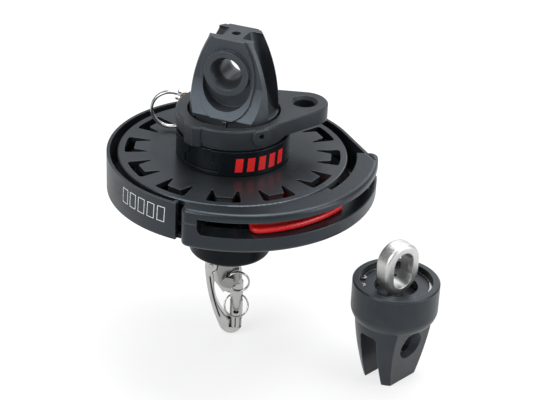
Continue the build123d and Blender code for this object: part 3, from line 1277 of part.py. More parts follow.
# Balls and cages
save("load_balls", ball_ring(THRUST_PITCH, THRUST_BALLS, ball_level))
save("load_cage", flat_cage(RACE_INNER + CAGE_SIDE, RACE_OUTER - CAGE_SIDE, THRUST_PITCH, THRUST_BALLS,
                            ball_level))
save("radial_balls", ball_ring(RADIAL_PITCH, RADIAL_BALLS, radial_level))
save("radial_cage", radial_cage())

# Stator
feeder_low_half, feeder_high_half = split_feeder()
save("load_shaft", load_shaft())
save("shaft_nut", shaft_nut())
save("nut_split_pin", split_pin())
save("load_race_upper", race(SHAFT_RADIUS, RACE_OUTER - FREE_GAP, race_high, nut_low, THRUST_PITCH,
                             ball_level))
save("clevis_pin", clevis_pin())
save("lower_hub", lower_hub())
save("hub_locknut", hex_nut(LOCKNUT_ACROSS, SHAFT_RADIUS, hub_floor_top, hub_floor_top + LOCKNUT_HEIGHT))
save("shaft_key", key_block())
save("hub_screws", hub_screws(True))
save("radial_race_outer", race(HUB_CAVITY - RADIAL_OUTER_WALL, HUB_CAVITY, radial_low, radial_top,
                               RADIAL_PITCH, radial_level))
save("guard_plate", guard_plate())
save("guard_band", guard_band())
save("band_screws", band_screws(True))
plate_room = raised(plate_plan(), GUARD_BOTTOM - 1, plate_top)
save("feeder_lower", feeder_low_half - plate_room - short_feed_screws())
save("feeder_upper", feeder_high_half)
save("feeder_screws", long_feed_screws(True) + short_feed_screws(True))
save("line_guide", line_guide())

# Tack ring
save("tack_ring", tack_ring())
save("tack_bush", tack_bush())
save("tack_screw", tack_screw())
save("lock_bush", lock_bush())
save("lock_pin", lock_pin())
save("pull_ring", pull_ring())

# Snap shackle
save("shackle_body", shackle_body())
save("shackle_gate", shackle_gate())
save("gate_pin", gate_pin())
save("plunger", plunger())
save("plunger_spring", plunger_spring())
save("clevis_ring", clevis_ring())
save("plunger_ring", plunger_ring())

# Head swivel
save("head_housing", placed(head_housing()))
save("head_race", placed(head_race()))
save("head_balls", placed(ball_ring(HEAD_PITCH, HEAD_BALLS, head_ball_level())))
save("head_cage", placed(flat_cage(STEM_RADIUS + CAGE_SIDE, HEAD_CAVITY - 2 * CAGE_SIDE, HEAD_PITCH,
                                   HEAD_BALLS, head_ball_level())))
save("head_cover", placed(head_cover()))
save("head_circlip", placed(head_circlip()))
save("head_stem", placed(head_stem()))
save("head_link", placed(head_link()))
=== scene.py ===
import math

import bmesh
import bpy
from mathutils import Matrix, Vector


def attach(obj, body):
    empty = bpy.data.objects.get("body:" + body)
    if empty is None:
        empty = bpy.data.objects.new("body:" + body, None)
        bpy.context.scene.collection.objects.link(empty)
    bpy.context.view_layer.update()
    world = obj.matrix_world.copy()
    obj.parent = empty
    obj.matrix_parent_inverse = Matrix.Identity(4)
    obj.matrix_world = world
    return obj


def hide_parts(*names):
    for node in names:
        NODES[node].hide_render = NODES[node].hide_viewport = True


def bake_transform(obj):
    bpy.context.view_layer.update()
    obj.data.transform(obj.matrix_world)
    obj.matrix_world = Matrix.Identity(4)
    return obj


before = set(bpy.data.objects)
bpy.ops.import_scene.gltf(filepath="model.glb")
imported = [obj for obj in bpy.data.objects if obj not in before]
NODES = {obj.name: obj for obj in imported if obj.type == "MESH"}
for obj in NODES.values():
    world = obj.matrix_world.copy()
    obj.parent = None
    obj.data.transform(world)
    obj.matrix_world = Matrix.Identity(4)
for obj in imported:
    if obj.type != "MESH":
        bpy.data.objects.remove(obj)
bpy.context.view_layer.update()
MM = 0.001

# Axes, radii and levels of the furler, in millimetres
DRUM_AXIS = (0.0, 0.0)
HEAD_AXIS = (110.0, -41.0)
COLLAR_RADIUS = 37.0
BAND_RADIUS = 82.0

# Groove down the shackle's gate: the arc that it follows, its width and its ends, in millimetres
GROOVE_CENTRE_X = 124.33
GROOVE_CENTRE_Z = 13.39
GROOVE_RADIUS = 137.79
GROOVE_WIDTH = 1.1
GROOVE_FOOT = -34.4
GROOVE_TOP = -1.0
GROOVE_FADE = 1.5

# Shares of the groove's width from its middle, where it is at full depth and where it has gone
GROOVE_FULL = 0.35
GROOVE_GONE = 0.65

# Rows of printed bars: first place, spacing, width and lean in degrees, the rest in millimetres
COLLAR_BARS = {"first": 274.0, "spacing": 12.0, "width": 7.5, "lean": 1.2, "low": 95.5, "high": 105.0}
BAND_BARS = {"first": 215.0, "spacing": 5.6, "width": 4.0, "lean": 0.45, "low": 77.0, "high": 87.5}
OUTLINE_WIDTH = 0.45
INK_LIFT = 0.04
INK_THICKNESS = 0.06

# Bars in a row, steps round and up one bar, and how near two of its points are to be one, in metres
BARS_IN_ROW = 5
BAR_STEPS_ROUND = 3
BAR_STEPS_UP = 4
SAME_POINT = 1e-7

# Tints and tones of the finishes
COOL_TINT = (0.92, 1.0, 1.10)
RUBBED_ALLOY_AND_HIGHLIGHT = 0.17
BLUE_GLINT = (0.72, 0.86, 1.0, 1.0)
RUBBED_PLASTIC_AND_HIGHLIGHT_GAIN = 1.5
RUBBED_PLASTIC_AND_HIGHLIGHT_LIFT = 0.045
PALE_GLINT = (0.80, 0.90, 1.0, 1.0)
DULL_STEEL_TINT = (0.86, 0.86, 0.85)
CLEAN_STEEL_TINT = (1.0, 0.99, 0.97)
RUBBED_STEEL_AND_HIGHLIGHT = (0.85, 0.85, 0.84)
PAINTED_CREVICE_SHADE = (0.045, 0.047, 0.05)
GROOVE_SHADE = (0.03, 0.032, 0.035)
DARK_BRONZE = (0.07, 0.050, 0.034)
LIGHT_BRONZE = (0.14, 0.10, 0.06)
WHITE = (1.0, 1.0, 1.0, 1.0)

# How much glossier and duller a finish gets in places, how far wear and painted highlight go on edges,
# and how far painted shade goes in crevices
SMEAR_GLOSSIER = 0.05
SMEAR_DULLER = 0.07
PATCH_CHANGE = 0.05
SCRATCH_GLOSSIER = 0.75
SCRATCH_DULLER = 1.35
BRONZE_ROUGHNESS = (0.42, 0.26)
ALLOY_WEAR_AND_HIGHLIGHT = (0.25, 0.8)
EDGE_WEAR_AND_HIGHLIGHT = 0.5
PAINTED_CREVICE_SHADE_SHARE = 0.9

# Spans for remapping: the middle of a noise pattern, its inner part, and a share from none to all
MIDDLE = (0.3, 0.7)
INNER = (0.35, 0.65)
SHARE = (0.0, 1.0)

# Edges and crevices: from where to where they count, samples, and a crevice's reach in millimetres
EDGE_SPAN = (0.995, 0.82)
EDGE_SAMPLES = 6
CREVICE_SPAN = (0.85, 0.30)
CREVICE_SAMPLES = 8
CREVICE_REACH = 3.0

# View of the photograph: turns in degrees, place in millimetres, focal length and width in pixels
VIEW_DEPRESSION = 28.48
VIEW_ROLL = 2.5
CAMERA_PLACE = (26.3, -988.6, 593.2)
FOCAL_LENGTH = 1700.0
PICTURE_WIDTH = 542.0
SENSOR_WIDTH = 36.0
FARTHEST_VIEW = 50.0

# Studio: the floor's level in millimetres and reach in metres, and how pale and bright all is
FLOOR_LEVEL = -47.6
FLOOR_REACH = 6.0
FLOOR_COLOUR = (0.86, 0.86, 0.86, 1.0)
FLOOR_ROUGHNESS = 0.9
FLOOR_GLOW = 0.72
ROOM_COLOUR = (0.80, 0.83, 0.87, 1.0)
ROOM_LIGHT = 0.34
MIRRORED_COLOUR = (0.94, 0.97, 1.0, 1.0)
MIRRORED_LIGHT = 0.62
CARD_COLOUR = (0.01, 0.01, 0.012, 1.0)


# Patterns, colours and edges that the finishes share
def new_material(name):
    """Return a material, its node tree and its main shader."""
    material = bpy.data.materials.new(name)
    material.use_nodes = True
    tree = material.node_tree
    return material, tree, tree.nodes["Principled BSDF"]


def add(tree, kind, **settings):
    """Add a node and set its properties and unlinked inputs."""
    node = tree.nodes.new(kind)
    for key, value in settings.items():
        if key in node.inputs:
            node.inputs[key].default_value = value
        else:
            setattr(node, key, value)
    return node


def place(tree, stretch=(1.0, 1.0, 1.0), centre=(0.0, 0.0, 0.0)):
    """Return object coordinates, moved to a centre and stretched along the axes."""
    coordinates = add(tree, "ShaderNodeTexCoord")
    mapping = add(tree, "ShaderNodeMapping")
    mapping.inputs["Location"].default_value = [-c * s * MM for c, s in zip(centre, stretch)]
    mapping.inputs["Scale"].default_value = stretch
    tree.links.new(coordinates.outputs["Object"], mapping.inputs["Vector"])
    return mapping.outputs["Vector"]


def noise(tree, vector, scale, detail, rough):
    """Return the value of a noise pattern."""
    node = add(tree, "ShaderNodeTexNoise", Scale=scale, Detail=detail, Roughness=rough)
    tree.links.new(vector, node.inputs["Vector"])
    return node.outputs["Fac"]


def remap(tree, value, span, target=SHARE):
    """Return a value mapped from one span of numbers to another."""
    node = add(tree, "ShaderNodeMapRange")
    for end, number in zip(("From Min", "From Max", "To Min", "To Max"), (*span, *target)):
        node.inputs[end].default_value = number
    tree.links.new(value, node.inputs["Value"])
    return node.outputs["Result"]


def combine(tree, operation, first, second=0.0):
    """Return the result of a math operation on values or numbers."""
    node = add(tree, "ShaderNodeMath", operation=operation)
    for socket, value in zip(node.inputs, (first, second)):
        if isinstance(value, (int, float)):
            socket.default_value = value
        else:
            tree.links.new(value, socket)
    return node.outputs["Value"]


def distance(tree, first, second):
    """Return how far a point lies from an axis, from its two offsets across the axis."""
    squares = [combine(tree, "POWER", offset, 2.0) for offset in (first, second)]
    return combine(tree, "SQRT", combine(tree, "ADD", *squares))


def blend_colour(tree, share, first, second):
    """Return a colour between two, by a share from 0 to 1."""
    node = add(tree, "ShaderNodeMix", data_type="RGBA")
    tree.links.new(share, node.inputs["Factor"])
    sockets = [s for s in node.inputs if s.type == "RGBA"]
    for socket, value in zip(sockets, (first, second)):
        if isinstance(value, tuple):
            socket.default_value = (*value, 1.0)
        else:
            tree.links.new(value, socket)
    return [s for s in node.outputs if s.type == "RGBA"][0]


def tinted(tone, tint):
    """Return a grey tone with a tint."""
    return tuple(tone * t for t in tint)


def soft_edge(tree, radius):
    """Return the normal of a softened edge, and how near the surface is to an edge."""
    bevel = add(tree, "ShaderNodeBevel", Radius=radius * MM)
    bevel.samples = EDGE_SAMPLES
    geometry = add(tree, "ShaderNodeNewGeometry")
    turn = add(tree, "ShaderNodeVectorMath", operation="DOT_PRODUCT")
    tree.links.new(bevel.outputs["Normal"], turn.inputs[0])
    tree.links.new(geometry.outputs["Normal"], turn.inputs[1])
    return bevel.outputs["Normal"], remap(tree, turn.outputs["Value"], EDGE_SPAN)


def crevice(tree):
    """Return how deep in a gap or corner the surface lies, from 0 in the open to 1."""
    shelter = add(tree, "ShaderNodeAmbientOcclusion", Distance=CREVICE_REACH * MM)
    shelter.samples = CREVICE_SAMPLES
    return remap(tree, shelter.outputs["AO"], CREVICE_SPAN)


def bump(tree, height, normal, strength, depth):
    """Return a normal that follows a height."""
    node = add(tree, "ShaderNodeBump", Strength=strength, Distance=depth * MM)
    tree.links.new(height, node.inputs["Height"])
    tree.links.new(normal, node.inputs["Normal"])
    return node.outputs["Normal"]


def turned_height(tree, centre):
    """Return the fine ridges that a lathe leaves round an upright axis."""
    split = add(tree, "ShaderNodeSeparateXYZ")
    tree.links.new(place(tree, centre=(*centre, 0.0)), split.inputs["Vector"])
    joined = add(tree, "ShaderNodeCombineXYZ")
    tree.links.new(distance(tree, split.outputs["X"], split.outputs["Y"]), joined.inputs["X"])
    tree.links.new(split.outputs["Z"], joined.inputs["Y"])
    return noise(tree, joined.outputs["Vector"], scale=2400.0, detail=2.0, rough=0.6)


def dress(tree, shader, colour, rough, normal):
    """Give a shader its colour, roughness and normal."""
    for name, value in (("Base Color", colour), ("Roughness", rough), ("Normal", normal)):
        tree.links.new(value, shader.inputs[name])


# Finishes
def anodised(name, dark, light, rough, shine, edge=0.35, lathe=None):
    """Hard black anodising on machined alloy: satin, faintly mottled, paler along its edges from wear and
    from a painted highlight.
    """
    material, tree, shader = new_material(name)
    normal, near_edge = soft_edge(tree, edge)
    mottle = noise(tree, place(tree), scale=55.0, detail=5.0, rough=0.6)
    grain = noise(tree, place(tree), scale=2600.0, detail=2.0, rough=0.5)
    scuff = noise(tree, place(tree), scale=900.0, detail=3.0, rough=0.7)
    smear = noise(tree, place(tree, stretch=(1.0, 1.0, 2.2)), scale=21.0, detail=4.0, rough=0.6)
    body = blend_colour(tree, remap(tree, mottle, MIDDLE),
                        tinted(dark, COOL_TINT), tinted(light, COOL_TINT))
    # Paler edges: partly wear, partly a painted highlight where the edges would catch the light.
    worn_and_lit_edge = combine(tree, "MULTIPLY", near_edge, remap(tree, scuff, INNER, ALLOY_WEAR_AND_HIGHLIGHT))
    colour = blend_colour(tree, worn_and_lit_edge, body, tinted(RUBBED_ALLOY_AND_HIGHLIGHT, COOL_TINT))
    satin = remap(tree, smear, MIDDLE, (rough - SMEAR_GLOSSIER, rough + SMEAR_DULLER))
    normal = bump(tree, grain, normal, strength=0.14, depth=0.02)
    if lathe:
        normal = bump(tree, turned_height(tree, lathe), normal, strength=0.10, depth=0.02)
    dress(tree, shader, colour, satin, normal)
    shader.inputs["Specular IOR Level"].default_value = shine
    shader.inputs["Specular Tint"].default_value = BLUE_GLINT
    return material


def moulded(name, dark, light, rough, edge, grain_depth=0.03, shine=0.5):
    """Moulded plastic: fine spark-eroded grain, broad patches of slightly different gloss."""
    material, tree, shader = new_material(name)
    normal, near_edge = soft_edge(tree, edge)
    patches = noise(tree, place(tree), scale=34.0, detail=4.0, rough=0.6)
    grain = noise(tree, place(tree), scale=1900.0, detail=3.0, rough=0.6)
    body = blend_colour(tree, remap(tree, patches, MIDDLE), dark, light)
    # Paler edges: partly wear, partly a painted highlight along the rims.
    rubbed_and_lit_edge = tuple(min(1.0, c * RUBBED_PLASTIC_AND_HIGHLIGHT_GAIN + RUBBED_PLASTIC_AND_HIGHLIGHT_LIFT) for c in light)
    colour = blend_colour(tree, combine(tree, "MULTIPLY", near_edge, EDGE_WEAR_AND_HIGHLIGHT), body, rubbed_and_lit_edge)
    satin = remap(tree, patches, MIDDLE, (rough + PATCH_CHANGE, rough - PATCH_CHANGE))
    dress(tree, shader, colour, satin, bump(tree, grain, normal, strength=0.3, depth=grain_depth))
    shader.inputs["Specular IOR Level"].default_value = shine
    shader.inputs["Specular Tint"].default_value = PALE_GLINT
    return material


def stainless(name, rough, tone, stretch=(1.0, 1.0, 1.0), edge=0.25, grain_depth=0.012):
    """Stainless steel: polished or tumbled, with fine directional scratches and duller patches."""
    material, tree, shader = new_material(name)
    normal, near_edge = soft_edge(tree, edge)
    patches = noise(tree, place(tree), scale=120.0, detail=4.0, rough=0.6)
    scratch = noise(tree, place(tree, stretch), scale=1400.0, detail=3.0, rough=0.65)
    body = blend_colour(tree, remap(tree, patches, MIDDLE),
                        tinted(tone, DULL_STEEL_TINT), tinted(tone, CLEAN_STEEL_TINT))
    # Paler edges: partly wear, partly a painted highlight.
    colour = blend_colour(tree, combine(tree, "MULTIPLY", near_edge, EDGE_WEAR_AND_HIGHLIGHT), body, RUBBED_STEEL_AND_HIGHLIGHT)
    # Painted shade: the steel darkens in gaps and corners, where shade falls.
    colour = blend_colour(tree, combine(tree, "MULTIPLY", crevice(tree), PAINTED_CREVICE_SHADE_SHARE), colour, PAINTED_CREVICE_SHADE)
    polish = remap(tree, scratch, MIDDLE, (rough * SCRATCH_GLOSSIER, rough * SCRATCH_DULLER))
    dress(tree, shader, colour, polish, bump(tree, scratch, normal, strength=0.25, depth=grain_depth))
    shader.inputs["Metallic"].default_value = 1.0
    return material


def grooved(material):
    """Paint shade along the curved groove that runs down the shackle's gate, and sink it with a bump."""
    tree = material.node_tree
    shader = tree.nodes["Principled BSDF"]
    split = add(tree, "ShaderNodeSeparateXYZ")
    tree.links.new(place(tree, centre=(GROOVE_CENTRE_X, 0.0, GROOVE_CENTRE_Z)), split.inputs["Vector"])
    from_centre = distance(tree, split.outputs["X"], split.outputs["Z"])
    from_arc = combine(tree, "ABSOLUTE", combine(tree, "SUBTRACT", from_centre, GROOVE_RADIUS * MM))
    line = remap(tree, from_arc, (GROOVE_WIDTH * GROOVE_FULL * MM, GROOVE_WIDTH * GROOVE_GONE * MM),
                 (1.0, 0.0))
    top = GROOVE_TOP - GROOVE_CENTRE_Z
    foot = GROOVE_FOOT - GROOVE_CENTRE_Z
    below = remap(tree, split.outputs["Z"], (top * MM, (top - GROOVE_FADE) * MM))
    above = remap(tree, split.outputs["Z"], (foot * MM, (foot + GROOVE_FADE) * MM))
    mask = combine(tree, "MULTIPLY", combine(tree, "MULTIPLY", line, below), above)
    plain = shader.inputs["Base Color"].links[0].from_socket
    tree.links.new(blend_colour(tree, mask, plain, GROOVE_SHADE), shader.inputs["Base Color"])
    plain_normal = shader.inputs["Normal"].links[0].from_socket
    level = combine(tree, "SUBTRACT", 1.0, mask)
    tree.links.new(bump(tree, level, plain_normal, strength=0.8, depth=0.3), shader.inputs["Normal"])
    return material


def bronze(name):
    """Turned bronze with a dull brown bloom."""
    material, tree, shader = new_material(name)
    normal, _ = soft_edge(tree, 0.2)
    bloom = noise(tree, place(tree), scale=260.0, detail=4.0, rough=0.6)
    colour = blend_colour(tree, remap(tree, bloom, INNER), DARK_BRONZE, LIGHT_BRONZE)
    satin = remap(tree, bloom, MIDDLE, BRONZE_ROUGHNESS)
    dress(tree, shader, colour, satin, bump(tree, bloom, normal, strength=0.15, depth=0.02))
    shader.inputs["Metallic"].default_value = 1.0
    return material


FINISH = {
    "drum": anodised("drum_anodised", dark=0.007, light=0.012, rough=0.30, lathe=DRUM_AXIS, shine=0.62),
    # Painted shade: a darker, less shiny copy of the drum's anodising, for the lower flange, core and
    # sleeve that sit in shade.
    "inside_shaded": anodised("drum_core_shaded_anodised", dark=0.002, light=0.004, rough=0.40, lathe=DRUM_AXIS,
                       shine=0.10),
    "hub": anodised("hub_anodised", dark=0.003, light=0.005, rough=0.32, lathe=DRUM_AXIS, shine=0.12),
    "tower": anodised("tower_anodised", dark=0.022, light=0.036, rough=0.36, edge=0.5, shine=0.45),
    "ring": anodised("ring_anodised", dark=0.013, light=0.023, rough=0.36, edge=0.5, shine=0.34),
    "head": anodised("head_anodised", dark=0.014, light=0.024, rough=0.34, edge=0.5, lathe=HEAD_AXIS,
                     shine=0.32),
    "stem": anodised("stem_anodised", dark=0.005, light=0.010, rough=0.34, lathe=HEAD_AXIS, shine=0.3),
    "band": anodised("band_coating", dark=0.008, light=0.014, rough=0.38, edge=0.3, shine=0.45),
    "plate": anodised("guard_plate_coating", dark=0.003, light=0.006, rough=0.42, edge=0.3, shine=0.15),
    "washer": anodised("cover_washer", dark=0.014, light=0.022, rough=0.40, lathe=HEAD_AXIS, shine=0.5),
    "feeder": moulded("feeder_plastic", dark=(0.006, 0.008, 0.010), light=(0.010, 0.013, 0.016),
                      rough=0.30, edge=1.4, grain_depth=0.02, shine=0.38),
    "collar": moulded("collar_plastic", dark=(0.002, 0.003, 0.004), light=(0.005, 0.007, 0.009),
                      rough=0.28, edge=0.5, grain_depth=0.02, shine=0.2),
    "red": moulded("guide_red_plastic", dark=(0.62, 0.012, 0.014), light=(0.78, 0.026, 0.024),
                   rough=0.26, edge=0.4, grain_depth=0.015),
    "white": moulded("bearing_plastic", dark=(0.70, 0.70, 0.66), light=(0.82, 0.82, 0.80),
                     rough=0.40, edge=0.2),
    "mark_red": moulded("mark_red_ink", dark=(0.60, 0.010, 0.010), light=(0.72, 0.020, 0.018),
                        rough=0.34, edge=0.05, grain_depth=0.01),
    "mark_white": moulded("mark_white_ink", dark=(0.50, 0.51, 0.52), light=(0.62, 0.63, 0.64),
                          rough=0.40, edge=0.05, grain_depth=0.01),
    "bright": stainless("polished_stainless", rough=0.16, tone=0.62),
    "shaft": stainless("brushed_shaft_stainless", rough=0.26, tone=0.30, stretch=(1.0, 1.0, 0.25),
                       edge=0.4, grain_depth=0.03),
    "link": stainless("tumbled_link_stainless", rough=0.40, tone=0.64, edge=0.8, grain_depth=0.03),
    "satin": stainless("tumbled_stainless", rough=0.32, tone=0.50, stretch=(1.0, 1.0, 3.0), edge=0.5),
    "gate": grooved(stainless("tumbled_gate_stainless", rough=0.30, tone=0.54, stretch=(1.0, 1.0, 3.0),
                              edge=0.5)),
    "wire": stainless("ring_wire_stainless", rough=0.20, tone=0.42, edge=0.05),
    "screw": stainless("screw_stainless", rough=0.24, tone=0.50),
    "ball": stainless("bearing_ball_steel", rough=0.06, tone=0.66, grain_depth=0.002),
    "race": stainless("race_steel", rough=0.18, tone=0.56),
    "bush": bronze("lock_bush_bronze"),
}

# Pieces that have each finish
USES = {
    "drum": ("upper_flange",),
    "inside_shaded": ("lower_flange", "drum_core", "drum_sleeve"),
    "hub": ("lower_hub", "hub_barrel", "tack_screw"),
    "tower": ("cable_thimble",),
    "ring": ("tack_ring",),
    "head": ("head_housing",),
    "stem": ("head_stem",),
    "band": ("guard_band",),
    "plate": ("guard_plate",),
    "washer": ("head_cover",),
    "feeder": ("feeder_lower", "feeder_upper"),
    "collar": ("hub_collar", "collar_tab"),
    "red": ("line_guide",),
    "white": ("tack_bush", "journal_bush", "load_cage", "radial_cage", "head_cage"),
    "bright": ("lock_pin",),
    "shaft": ("clevis_pin", "load_shaft"),
    "link": ("head_link",),
    "satin": ("shackle_body", "gate_pin", "plunger"),
    "gate": ("shackle_gate",),
    "wire": ("pull_ring", "clevis_ring", "plunger_ring", "head_circlip", "plunger_spring"),
    "screw": ("shaft_nut", "nut_split_pin", "hub_locknut", "shaft_key", "hub_screws", "band_screws",
              "feeder_screws", "drum_screws", "thimble_screws"),
    "ball": ("load_balls", "radial_balls", "head_balls"),
    "race": ("load_race_lower", "load_race_upper", "radial_race_inner", "radial_race_outer", "head_race"),
    "bush": ("lock_bush",),
}


def paint(piece, material):
    """Give a piece one finish."""
    if piece.material_slots:
        for entry in piece.material_slots:
            entry.material = material
    else:
        piece.data.materials.append(material)


for finish, names in USES.items():
    for node_name in names:
        paint(NODES[node_name], FINISH[finish])


def mesh_data(mesh, name):
    """Return the lasting data of a mesh under construction."""
    data = bpy.data.meshes.new(name)
    mesh.to_mesh(data)
    mesh.free()
    return data


def put_in_scene(name, data):
    """Return a new object in the scene."""
    piece = bpy.data.objects.new(name, data)
    bpy.context.scene.collection.objects.link(piece)
    return piece


# Bars printed on the collar and the band
def slanted_bar(mesh, radius, angle, width, lean, low, high):
    """Add one bar that hugs an upright cylinder and leans over as it rises."""
    centre = (0.0, 0.0, 0.0)
    axis = (0.0, 0.0, 1.0)
    turn = math.radians(angle)
    foot = Vector((radius * math.cos(turn), radius * math.sin(turn), low)) * MM
    start = bmesh.ops.create_vert(mesh, co=foot)["vert"]
    bmesh.ops.spin(mesh, geom=start, cent=centre, axis=axis, angle=math.radians(width),
                   steps=BAR_STEPS_ROUND)
    rise = (high - low) * MM / BAR_STEPS_UP
    bmesh.ops.spin(mesh, geom=list(mesh.verts) + list(mesh.edges), cent=centre, axis=axis,
                   dvec=(0.0, 0.0, rise), angle=math.radians(lean), steps=BAR_STEPS_UP)


def open_bar(mesh, line):
    """Leave only a thin line round the edge of a bar."""
    inner = list(mesh.faces)
    bmesh.ops.inset_region(mesh, faces=inner, thickness=line * MM, use_boundary=True,
                           use_even_offset=True)
    bmesh.ops.delete(mesh, geom=inner, context="FACES")


def printed_bars(name, material, body, slot_name, radius, first, spacing, line=None, **shape):
    """Print a row of slanted bars round an upright wall, filled or as outlines."""
    row = bmesh.new()
    for number in range(BARS_IN_ROW):
        bar = bmesh.new()
        slanted_bar(bar, radius + INK_LIFT, first + spacing * number, **shape)
        bmesh.ops.remove_doubles(bar, verts=bar.verts, dist=SAME_POINT)
        bmesh.ops.recalc_face_normals(bar, faces=bar.faces)
        if line:
            open_bar(bar, line)
        bmesh.ops.solidify(bar, geom=bar.faces, thickness=INK_THICKNESS * MM)
        data = mesh_data(bar, name)
        row.from_mesh(data)
        bpy.data.meshes.remove(data)
    bmesh.ops.recalc_face_normals(row, faces=row.faces)
    piece = put_in_scene(name, mesh_data(row, name))
    paint(piece, material)
    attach(piece, body)


printed_bars("collar_marks", FINISH["mark_red"], "drum", "line_guide", COLLAR_RADIUS, **COLLAR_BARS)
printed_bars("band_marks", FINISH["mark_white"], "guard", "tack_bush", BAND_RADIUS, line=OUTLINE_WIDTH,
             **BAND_BARS)


# Spring of the shackle's plunger
def plunger_coils():
    """Copy the spring's coils into a piece of their own and hide the spring; the coils close up as the
    plunger is pulled, but nothing here makes the copy do so.
    """
    coils = put_in_scene("plunger_coils", NODES["plunger_spring"].data.copy())
    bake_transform(coils)
    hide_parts("plunger_spring")


plunger_coils()


# Camera and studio
def photo_camera():
    """Set the camera where the photograph was taken from."""
    depression = math.radians(VIEW_DEPRESSION)
    roll = math.radians(VIEW_ROLL)
    across = Vector((1.0, 0.0, 0.0))
    upward = Vector((0.0, math.sin(depression), math.cos(depression)))
    forward = Vector((0.0, math.cos(depression), -math.sin(depression)))
    right = across * math.cos(roll) + upward * math.sin(roll)
    up = upward * math.cos(roll) - across * math.sin(roll)
    data = bpy.data.cameras.new("photo_camera")
    data.sensor_width = SENSOR_WIDTH
    data.lens = FOCAL_LENGTH * SENSOR_WIDTH / PICTURE_WIDTH
    data.clip_end = FARTHEST_VIEW
    camera = put_in_scene("photo_camera", data)
    matrix = Matrix.Identity(4)
    for column, axis in enumerate((right, up, -forward)):
        for row in range(3):
            matrix[row][column] = axis[row]
    matrix.translation = Vector(CAMERA_PLACE) * MM
    camera.matrix_world = matrix
    bpy.context.scene.camera = camera


def aimed(spot, aim):
    """Return the turn that points something at a spot towards its aim."""
    return (Vector(aim) - Vector(spot)).to_track_quat("-Z", "Y")


def soft_box(name, spot, aim, size, power):
    """Hang a large area lamp, aimed at a point."""
    data = bpy.data.lights.new(name, "AREA")
    data.shape = "RECTANGLE"
    data.size, data.size_y = size
    data.energy = power
    lamp = put_in_scene(name, data)
    lamp.location = spot
    lamp.rotation_euler = aimed(spot, aim).to_euler()


def dark_card(name, spot, aim, size):
    """Hang a matt black card that only shows in reflections, for contrast on polished metal."""
    mesh = bmesh.new()
    bmesh.ops.create_grid(mesh, x_segments=1, y_segments=1, size=0.5)
    bmesh.ops.scale(mesh, verts=mesh.verts, vec=(*size, 1.0))
    turn = aimed(spot, aim).to_matrix().to_4x4()
    bmesh.ops.transform(mesh, verts=mesh.verts, matrix=Matrix.Translation(spot) @ turn)
    card = put_in_scene(name, mesh_data(mesh, name))
    material, _, shader = new_material(name)
    shader.inputs["Base Color"].default_value = CARD_COLOUR
    shader.inputs["Roughness"].default_value = 1.0
    paint(card, material)
    card.visible_camera = False
    card.visible_diffuse = False
    card.visible_transmission = False
    card.visible_shadow = False


def rays_of(tree, *kinds):
    """Return 1 for rays of light of the named kinds, and 0 for others."""
    rays = add(tree, "ShaderNodeLightPath")
    found = rays.outputs[f"Is {kinds[0]} Ray"]
    for kind in kinds[1:]:
        found = combine(tree, "MAXIMUM", found, rays.outputs[f"Is {kind} Ray"])
    return found


def mix_shaders(tree, share, first, second):
    """Return a shader between two, by a share from 0 to 1."""
    mixer = add(tree, "ShaderNodeMixShader")
    for socket, value in zip(mixer.inputs, (share, first, second)):
        tree.links.new(value, socket)
    return mixer.outputs["Shader"]


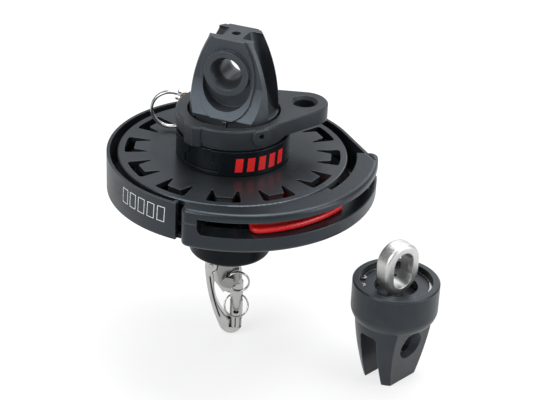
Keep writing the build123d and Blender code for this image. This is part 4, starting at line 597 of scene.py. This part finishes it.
def pale_floor():
    """Lay a pale floor that takes shadows and glows a little where it is seen or mirrored."""
    mesh = bmesh.new()
    bmesh.ops.create_grid(mesh, x_segments=1, y_segments=1, size=FLOOR_REACH)
    bmesh.ops.translate(mesh, verts=mesh.verts, vec=(0.0, 0.0, FLOOR_LEVEL * MM))
    floor = put_in_scene("studio_floor", mesh_data(mesh, "studio_floor"))
    material, tree, shader = new_material("pale_floor")
    shader.inputs["Base Color"].default_value = FLOOR_COLOUR
    shader.inputs["Roughness"].default_value = FLOOR_ROUGHNESS
    glow = add(tree, "ShaderNodeEmission", Strength=1.0, Color=WHITE)
    share = combine(tree, "MULTIPLY", rays_of(tree, "Camera", "Glossy", "Transmission"), FLOOR_GLOW)
    surface = mix_shaders(tree, share, shader.outputs["BSDF"], glow.outputs["Emission"])
    tree.links.new(surface, tree.nodes["Material Output"].inputs["Surface"])
    paint(floor, material)


def pale_surroundings():
    """Surround the object with soft light, paler in reflections and white behind it."""
    world = bpy.data.worlds.new("pale_surroundings")
    bpy.context.scene.world = world
    world.use_nodes = True
    tree = world.node_tree
    room = tree.nodes["Background"]
    room.inputs["Color"].default_value = ROOM_COLOUR
    room.inputs["Strength"].default_value = ROOM_LIGHT
    mirrored = add(tree, "ShaderNodeBackground", Strength=MIRRORED_LIGHT, Color=MIRRORED_COLOUR)
    white = add(tree, "ShaderNodeBackground", Strength=1.0, Color=WHITE)
    around = mix_shaders(tree, rays_of(tree, "Glossy"), room.outputs["Background"],
                         mirrored.outputs["Background"])
    surface = mix_shaders(tree, rays_of(tree, "Camera", "Transmission"), around,
                          white.outputs["Background"])
    tree.links.new(surface, tree.nodes["World Output"].inputs["Surface"])


def lamps_and_cards():
    """Hang four soft lamps round the object, and four dark cards, all placed in metres."""
    soft_box("window_left", (-0.9, -0.75, 0.85), aim=(0.0, 0.0, 0.08), size=(0.9, 0.9), power=16.0)
    soft_box("window_top", (0.15, 0.25, 1.15), aim=(0.02, 0.0, 0.08), size=(1.1, 0.8), power=17.0)
    soft_box("window_right", (1.0, -0.35, 0.45), aim=(0.03, 0.0, 0.05), size=(0.5, 0.9), power=6.0)
    soft_box("window_back", (0.60, 1.15, 0.78), aim=(0.03, 0.0, 0.08), size=(0.8, 0.7), power=3.0)
    dark_card("card_left", (-1.2, -0.1, 0.25), aim=(0.0, 0.0, 0.05), size=(0.7, 0.5))
    dark_card("card_front", (0.35, -1.25, 0.05), aim=(0.0, 0.0, 0.0), size=(0.8, 0.22))
    dark_card("card_high", (-0.15, -0.75, 1.15), aim=(0.0, 0.0, 0.0), size=(0.6, 0.25))
    dark_card("card_back", (-0.75, 1.2, 0.62), aim=(0.0, 0.0, 0.08), size=(0.8, 0.5))


bpy.context.scene.view_settings.view_transform = "Standard"
photo_camera()
pale_floor()
pale_surroundings()
lamps_and_cards()
